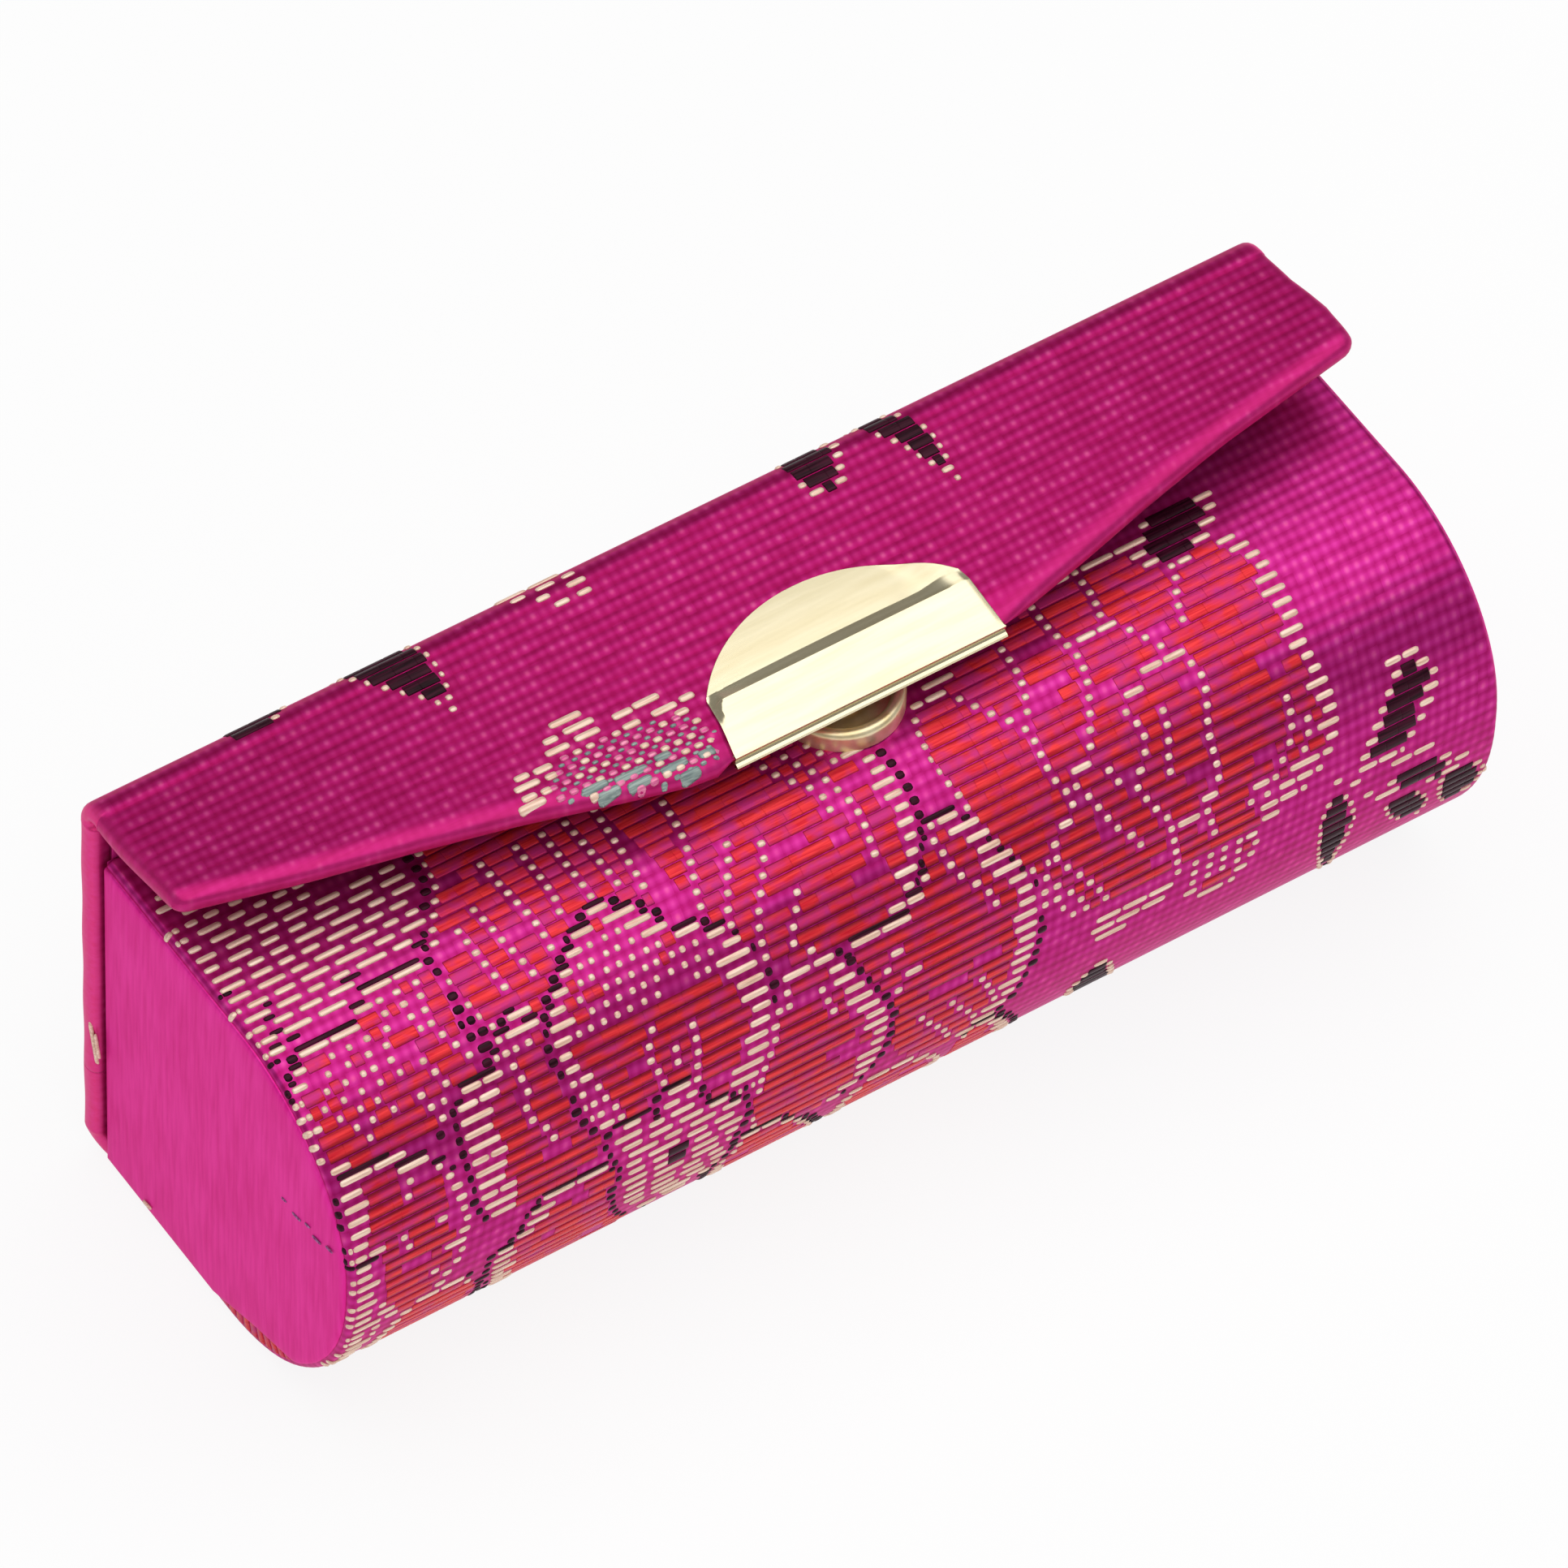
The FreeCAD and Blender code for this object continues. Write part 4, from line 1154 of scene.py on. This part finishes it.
def weave(petals, veins, half, first_run, last_run, rng):
    """The rows' floats as lists of (start x, end x, run, width) for each thread."""
    xs = np.arange(-half, half, STEP)
    petals = [Petal(smooth_line(drawn, True), *rest) for drawn, *rest in petals]
    lines = [smooth_line(line, False) for line in veins]
    floats = {thread: [] for thread in WIDTHS}
    for row in range(math.ceil(first_run / ROW), math.floor(last_run / ROW)):
        run = row * ROW + ROW_MIDDLE
        code = np.zeros(len(xs), np.int8)
        owner = np.zeros(len(xs), np.int16)
        for index, petal in enumerate(petals):
            here, fresh = lay_petal(code, petal, xs, run, rng)
            owner[here] = index + 1
            if "top" in petal.dark:
                floats[DARK] += [(xs[a], xs[b - 1], run - 0.46 * ROW, EDGE_WIDTH)
                                 for a, b in spans(fresh) if b - a > cells(SHORTEST)]
        for line in lines:
            for middle, reach in crossings(line, run):
                reach = max(DOT, reach - GAP)
                a, b = np.searchsorted(xs, (middle - reach, middle + reach))
                for beside in (slice(max(0, a - cells(GAP)), a), slice(b, b + cells(GAP))):
                    code[beside] = BARE
                    owner[beside] = 0
                code[a:b] = GOLD
        for index, petal in enumerate(petals):
            for a, b in spans((owner == index + 1) & (code == BARE)):
                fill_run(code, a, b, petal.kind, row, xs, rng)
        for thread, (longest, width, trim) in WIDTHS.items():
            for a, b in spans(code == thread):
                parts = math.ceil((b - a) / cells(longest))
                in_leaf = thread == DARK and owner[a] and petals[owner[a] - 1].kind == "leaf"
                wide, back = (LEAF_WIDTH, -LEAF_OVERLAP) if in_leaf else (width, trim)
                for k in range(parts):
                    start, end = [xs[0] + STEP * (a + (b - a) * j / parts) for j in (k, k + 1)]
                    if end - start > SHORTEST:
                        floats[thread].append((start + back, end - back, run, wide))
    return floats


def fill_red(code, a, b, run, rng):
    """Long red floats with bare ground between them, which shows most on the lit shoulder."""
    red = np.interp(run, (16, 18.5, 24, 27, 33, 37, 42), (0.95, 0.9, 0.88, 0.94, 0.94, 0.9, 0.95))
    place = a
    while place < b:
        end = min(b, place + cells(rng.uniform(1.1, 3.2)))
        if rng.random() < red:
            code[place:end - cells(GAP)] = RED
        place = end


def fill_run(code, a, b, kind, row, xs, rng):
    """Weaves the inside of a petal or leaf along one row."""
    if kind in ("red", "dots", "base dots"):
        fill_red(code, a, b, row * ROW + ROW_MIDDLE, rng)
    if kind in ("dots", "base dots") and row < 28:
        pitch = 1.4 if kind == "dots" else 1.0
        for k in range(int((xs[b - 1] - xs[a]) / pitch) + 2):
            x = (math.floor(xs[a] / pitch) + k + 0.5 * (row % 2)) * pitch + rng.uniform(-0.12, 0.12)
            spot = int(np.searchsorted(xs, x))
            often = 0.9 if kind == "base dots" or x < -39 else 0.25
            if a + cells(0.2) <= spot < b - cells(0.6) and rng.random() < often:
                code[spot - cells(GAP):spot + cells(0.68)] = BARE
                code[spot:spot + cells(0.56)] = GOLD
    elif kind in ("dashes", "bud"):
        longest, widest = (2.6, 0.45) if row > 11 else (2.0, 0.7)
        place = a + cells(rng.uniform(0.0, 0.8))
        while place < b:
            end = min(b, place + cells(rng.uniform(0.5 * longest, longest)))
            if end - place > cells(0.5) and rng.random() < 0.95:
                code[place:end] = GOLD
            place = end + cells(rng.uniform(0.3, widest))
    elif kind == "leaf":
        place = a
        while place < b:
            end = min(b, place + cells(rng.uniform(1.0, 1.9)))
            if end - place > cells(0.3):
                code[place:end] = DARK
            place = end + 1


def lattice(shape, rng):
    """The flower at the flap's edge: rows of pale knots with grey ones set between them."""
    pitch, apart = 0.44, 1.0
    pale_half, pale_width = 0.31, 0.5
    grey_half, grey_width = 0.22, 0.3
    drawn = smooth_line(shape, True)
    floats = {thread: [] for thread in WIDTHS}
    low, high = min(v for _, v in drawn), max(v for _, v in drawn)
    for row, run in enumerate(steps(low + 0.3, high, pitch)):
        xs = np.arange(-HALF_PANEL, HALF_PANEL, apart) + 0.5 * apart * (row % 2)
        for x in xs[inside(drawn, xs, run)]:
            if row % 2:
                floats[GREY].append((x - grey_half, x + grey_half, run, grey_width))
            else:
                thread = rng.choices((GOLD, PINK), (3, 4))[0]
                floats[thread].append((x - pale_half, x + pale_half, run, pale_width))
    return floats


def float_mesh(name, floats, place, height, material):
    """One piece of all floats: each is a low bar of six sides, round-ended or, if wide, blunt."""
    ring = [(-0.5, -0.12), (-0.38, 0.55), (0.0, 1.0), (0.38, 0.55), (0.5, -0.12), (0.0, -0.5)]
    round_end = [(0.0, 0.55, 0.35), (0.12, 0.9, 0.85), (0.3, 1.0, 1.0)]
    blunt_end = [(0.0, 0.9, 0.5), (0.05, 1.0, 0.9), (0.12, 1.0, 1.0)]
    count = len(ring)
    points, faces, sides, tints = [], [], [], []
    rng = random.Random(len(floats))
    for x0, x1, run, width in floats:
        base = len(points)
        stations = blunt_end if width > BLUNT_WIDTH else round_end
        inset = min(0.3, 0.45 * (x1 - x0)) / 0.3
        rows = [(x0 + d * inset, w, h) for d, w, h in stations]
        rows += [(x1 - d * inset, w, h) for d, w, h in reversed(stations)]
        tints += [rng.random()] * (count * len(rows))
        for x, wide, high in rows:
            points += [place(x, run + across * wide * width, up * high * height) for across, up in ring]
            sides += [2 * abs(across) for across, _ in ring]
        for k in range(len(rows) - 1):
            for j in range(count):
                a, b = base + count * k + j, base + count * k + (j + 1) % count
                faces.append((a, b, b + count, a + count))
        faces.append(tuple(base + j for j in reversed(range(count))))
        faces.append(tuple(base + count * (len(rows) - 1) + j for j in range(count)))
    mesh = bpy.data.meshes.new(name)
    mesh.from_pydata(points, [], faces)
    for word, values in (("side", sides), ("tint", tints)):
        mesh.attributes.new(word, "FLOAT", "POINT").data.foreach_set("value", values)
    piece = bpy.data.objects.new(name, mesh)
    bpy.context.scene.collection.objects.link(piece)
    edit(piece)
    bpy.ops.mesh.normals_make_consistent(inside=False)
    bpy.ops.object.mode_set(mode="OBJECT")
    finish_piece(piece, material)
    return piece


def on_case_woven(x, run, lift):
    """A point on the case's cloth by its place in the weave, which goes round the edge at the ends."""
    past = max(0.0, abs(x) - CASE_FLAT) / CASE_EDGE
    turn = min(past, math.pi / 2)
    out = CASE_EDGE + lift
    along = CASE_FLAT + out * math.sin(turn) if past else abs(x)
    down = CASE_EDGE - out * math.cos(turn) + CASE_EDGE * (past - turn) if past else -lift
    return on_case(math.copysign(along, x), run, -down)


def split_at_ends(bars):
    """Cuts a float in two where the cloth turns over the case's ends."""
    cut = []
    for x0, x1, run, width in bars:
        middle = max(x0, -CASE_FLAT), min(x1, CASE_FLAT)
        if x0 < middle[0]:
            cut.append((x0, min(x1, -CASE_FLAT - 0.05), run, width))
        if x1 > middle[1]:
            cut.append((max(x0, CASE_FLAT + 0.05), x1, run, width))
        cut.append((*middle, run, width))
    return [bar for bar in cut if bar[1] - bar[0] > 0.25]


def on_flap(x, run, lift=0.0):
    """A point on the flap's cloth or the crease, lift above it."""
    if run >= HINGE_RADIUS:
        share = (run - HINGE_RADIUS) / (flap_front(x) - HINGE_RADIUS)
        outer, _, _, from_front = panel_spot(x, ("flap", share))
        drop = (1 - bullnose(max(0.0, from_front), FRONT_ROUND)) * PANEL_CLOTH / 2
        return at(x, outer[0], outer[1] - drop + lift)
    if run < LID_RUN:
        return at(x, -lift, CREASE_Z + run - LID_RUN)
    turn = (run - LID_RUN) / HINGE_RADIUS
    radius = HINGE_RADIUS + lift
    return at(x, HINGE_RADIUS - radius * math.cos(turn), CREASE_Z + radius * math.sin(turn))


def on_hinge(x, run, lift=0.0):
    """A point on the cloth round the hinge, lift above it."""
    turn = (HINGE_RUN - run) / HINGE_RADIUS
    radius = HINGE_RADIUS + lift
    return at(x, HINGE_RADIUS - radius * math.cos(turn), HINGE_RADIUS - radius * math.sin(turn))


# each thread's name, silk and height above the ground
THREADS = {
    # the red silk's last colour is the painted shade of its floats' sides
    RED: ("red", silk_thread("red silk floats", "#CC1E30", "#F24044", 0.3, "#C6307A", "#640A20"), 0.07),
    GOLD: ("gold", silk_thread("pale gold floats", "#DAB09A", "#FCE2CE", 0.25), 0.15),
    DARK: ("dark", silk_thread("dark plum floats", "#1A030C", "#421026", 0.0), 0.1),
    PINK: ("pink", silk_thread("pink silk floats", "#D0508E", "#F49CB8", 0.3), 0.13),
    GREY: ("grey", silk_thread("grey green floats", "#6E7C7C", "#A8B6AE", 0.2), 0.13),
}


def weave_case():
    """The case's pattern, with red floats left bare by the satin at the toe."""
    floats = weave(CASE_PETALS, CASE_VEINS, PATTERN_HALF, 2.0, FRONT_RUN, random.Random(7))
    floats[DARK] += [(x0, x1, run, EDGE_WIDTH) for x0, x1, run in DARK_MARKS]
    toe_rows = range(math.ceil(TOE_SHOWN / ROW), math.floor((TOE_MIDDLE + TOE_SPAN) / ROW))
    floats[RED] += [(-46.9, -45.3, row * ROW + ROW_MIDDLE, WIDTHS[RED][1]) for row in toe_rows]
    for thread, (word, material, height) in THREADS.items():
        bars = split_at_ends(floats[thread])
        if bars:
            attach(float_mesh(f"case_floats_{word}", bars, on_case_woven, height, material), "case")


def weave_flap():
    """The flap's pattern, and on the lid's back, where the cloth goes on, the case's pattern turned round."""
    rng = random.Random(11)
    last_run = LID_TURN - HINGE_RUN + 1.1 * HINGE_RADIUS
    repeat = weave(CASE_PETALS, CASE_VEINS, PATTERN_HALF, 1.0, last_run, rng)
    floats = {thread: [(-x1, -x0, LID_TURN - run, width) for x0, x1, run, width in bars]
              for thread, bars in repeat.items()}
    leaves = weave(FLAP_PETALS, FLAP_VEINS, HALF_PANEL, LID_RUN - 1, 20, rng)
    flower = lattice(FLAP_LATTICE, rng)
    for thread in floats:
        floats[thread] += leaves[thread] + flower[thread]
    floats[GOLD] += [(x0, x1, run, DASH_WIDTH) for x0, x1, run in FLAP_DASHES]
    floats[GREY] += [(x0, x1, flap_front((x0 + x1) / 2) - gap, GREY_WIDTH) for x0, x1, gap in GREY_DASHES]
    for thread, (word, material, height) in THREADS.items():
        kept = [(max(x0, -PANEL_WOVEN), min(x1, PANEL_WOVEN), run, width)
                for x0, x1, run, width in floats[thread] if run < min(flap_front(x0), flap_front(x1))]
        kept = [bar for bar in kept if bar[1] - bar[0] > 0.3]
        upper = [bar for bar in kept if bar[2] > HINGE_RUN]
        lower = [bar for bar in kept if bar[2] <= HINGE_RUN]
        if upper:
            piece = float_mesh(f"flap_floats_{word}", upper, on_flap, height, material)
            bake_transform(piece)
        if lower:
            piece = float_mesh(f"hinge_floats_{word}", lower, on_hinge, height, material)
            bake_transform(piece)


def loose_threads():
    """Threads pulled out of the satin, and gold ones sticking out at the lid's end and under the satin."""
    def on_satin(reach, height, lift):
        return at(-HALF_LENGTH - 0.3 - lift, reach, height + 0.16 * (reach - 24))

    def at_lid_end(height, reach, lift):
        return at(-HALF_PANEL + 0.12 - lift, reach + 0.25 * (14 - height), height)

    gold = THREADS[GOLD][1]
    pulled = silk_thread("pulled satin threads", "#7A1E62", "#B47AB0", 0.2)
    pulls = [(24.2, 24.8, 20.1, 0.2), (25.5, 26.5, 19.7, 0.24), (27.0, 27.6, 20.0, 0.2),
             (27.9, 28.9, 19.5, 0.24), (29.5, 30.3, 19.9, 0.22)]
    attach(float_mesh("satin_pulls", pulls, on_satin, 0.1, pulled), "case")
    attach(float_mesh("satin_stray_thread", [(7.2, 8.2, 4.0, 0.3)], on_satin, 0.15, gold), "case")
    strays = [(10.6, 14.1, 1.3, 0.36), (11.4, 13.4, 1.75, 0.24)]
    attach(float_mesh("lid_end_threads", strays, at_lid_end, 0.2, gold), "lid")


weave_case()
weave_flap()
loose_threads()


# Camera, light and floor
def set_camera():
    """The photograph's view: angles in radians, and the focal length in the picture's pixels."""
    azimuth, elevation, roll = 0.6109155, 0.8837075, 0.0377038
    distance, right_shift, up_shift = 1100.0, -0.34375, 5.73589
    focal, picture, sensor = 20586.48, 1932, 36
    middle = Vector((0, BACK_Y - 15, 14))
    level = math.cos(elevation)
    back = Vector((-math.sin(azimuth) * level, -math.cos(azimuth) * level, math.sin(elevation)))
    right = Vector((math.cos(azimuth), -math.sin(azimuth), 0))
    up = back.cross(right)
    right, up = (math.cos(roll) * right + math.sin(roll) * up,
                 math.cos(roll) * up - math.sin(roll) * right)
    eye = middle + distance * back + right_shift * right + up_shift * up
    begin()
    bpy.ops.object.camera_add()
    camera = bpy.context.object
    camera.matrix_world = Matrix.Translation(eye * MM) @ Matrix((right, up, back)).transposed().to_4x4()
    camera.data.sensor_width = sensor
    camera.data.lens = focal / picture * sensor
    camera.data.clip_start, camera.data.clip_end = 0.01, 20
    bpy.context.scene.camera = camera


def add_softbox(name, place, turn, wide, deep, power):
    """A lamp with an even rectangular face; the turn is in degrees."""
    begin()
    bpy.ops.object.light_add(type="AREA", location=place, rotation=[math.radians(a) for a in turn])
    lamp = bpy.context.object
    lamp.name = name
    lamp.data.shape = "RECTANGLE"
    lamp.data.size = wide
    lamp.data.size_y = deep
    lamp.data.energy = power
    return lamp


def set_light():
    """A broad softbox overhead and a small one in front, in a dim grey studio."""
    scene = bpy.context.scene
    scene.view_settings.view_transform = "Standard"
    world = bpy.data.worlds.new("grey studio")
    scene.world = world
    world.use_nodes = True
    tree = world.node_tree
    tree.nodes.clear()
    sky = add_node(tree, "ShaderNodeBackground", {"Color": (1, 1, 1, 1), "Strength": 0.28})
    add_node(tree, "ShaderNodeOutputWorld", {"Surface": sky.outputs["Background"]})
    add_softbox("overhead softbox", (0.12, -0.06, 0.95), (0, 0, 8), 1.6, 1.42, 11.0)
    fill = add_softbox("front fill", (-0.25, -0.8, 0.12), (84, 0, -17), 0.5, 0.5, 2.0)
    fill.visible_glossy = False


def lay_floor():
    """White paper, which glows only where it is seen, straight or in a reflection."""
    begin()
    below = 0.15 * MM     # clear of the cloth's ribs
    bpy.ops.mesh.primitive_plane_add(size=6, location=(0, 0, -below))
    floor = bpy.context.object
    floor.name = "floor"
    material, tree, surface = new_material("white paper sweep")
    paper = {"Base Color": linear("#F4F4F4"), "Roughness": 0.9, "Specular IOR Level": 0.1}
    set_inputs(tree, surface, paper)
    rays = add_node(tree, "ShaderNodeLightPath").outputs
    seen = maths(tree, "MAXIMUM", rays["Is Camera Ray"], rays["Is Glossy Ray"])
    seen = maths(tree, "MAXIMUM", seen, rays["Is Transmission Ray"])
    share = maths(tree, "MULTIPLY", seen, 0.88)      # the rest is paper, which takes the case's shadow
    glow = add_node(tree, "ShaderNodeEmission", {"Color": (1, 1, 1, 1), "Strength": 1.0})
    both = {0: share, 1: surface.outputs["BSDF"], 2: glow.outputs["Emission"]}
    mix = add_node(tree, "ShaderNodeMixShader", both)
    set_inputs(tree, tree.nodes["Material Output"], {"Surface": mix.outputs["Shader"]})
    material.cycles.emission_sampling = "NONE"
    floor.data.materials.append(material)


set_camera()
set_light()
lay_floor()
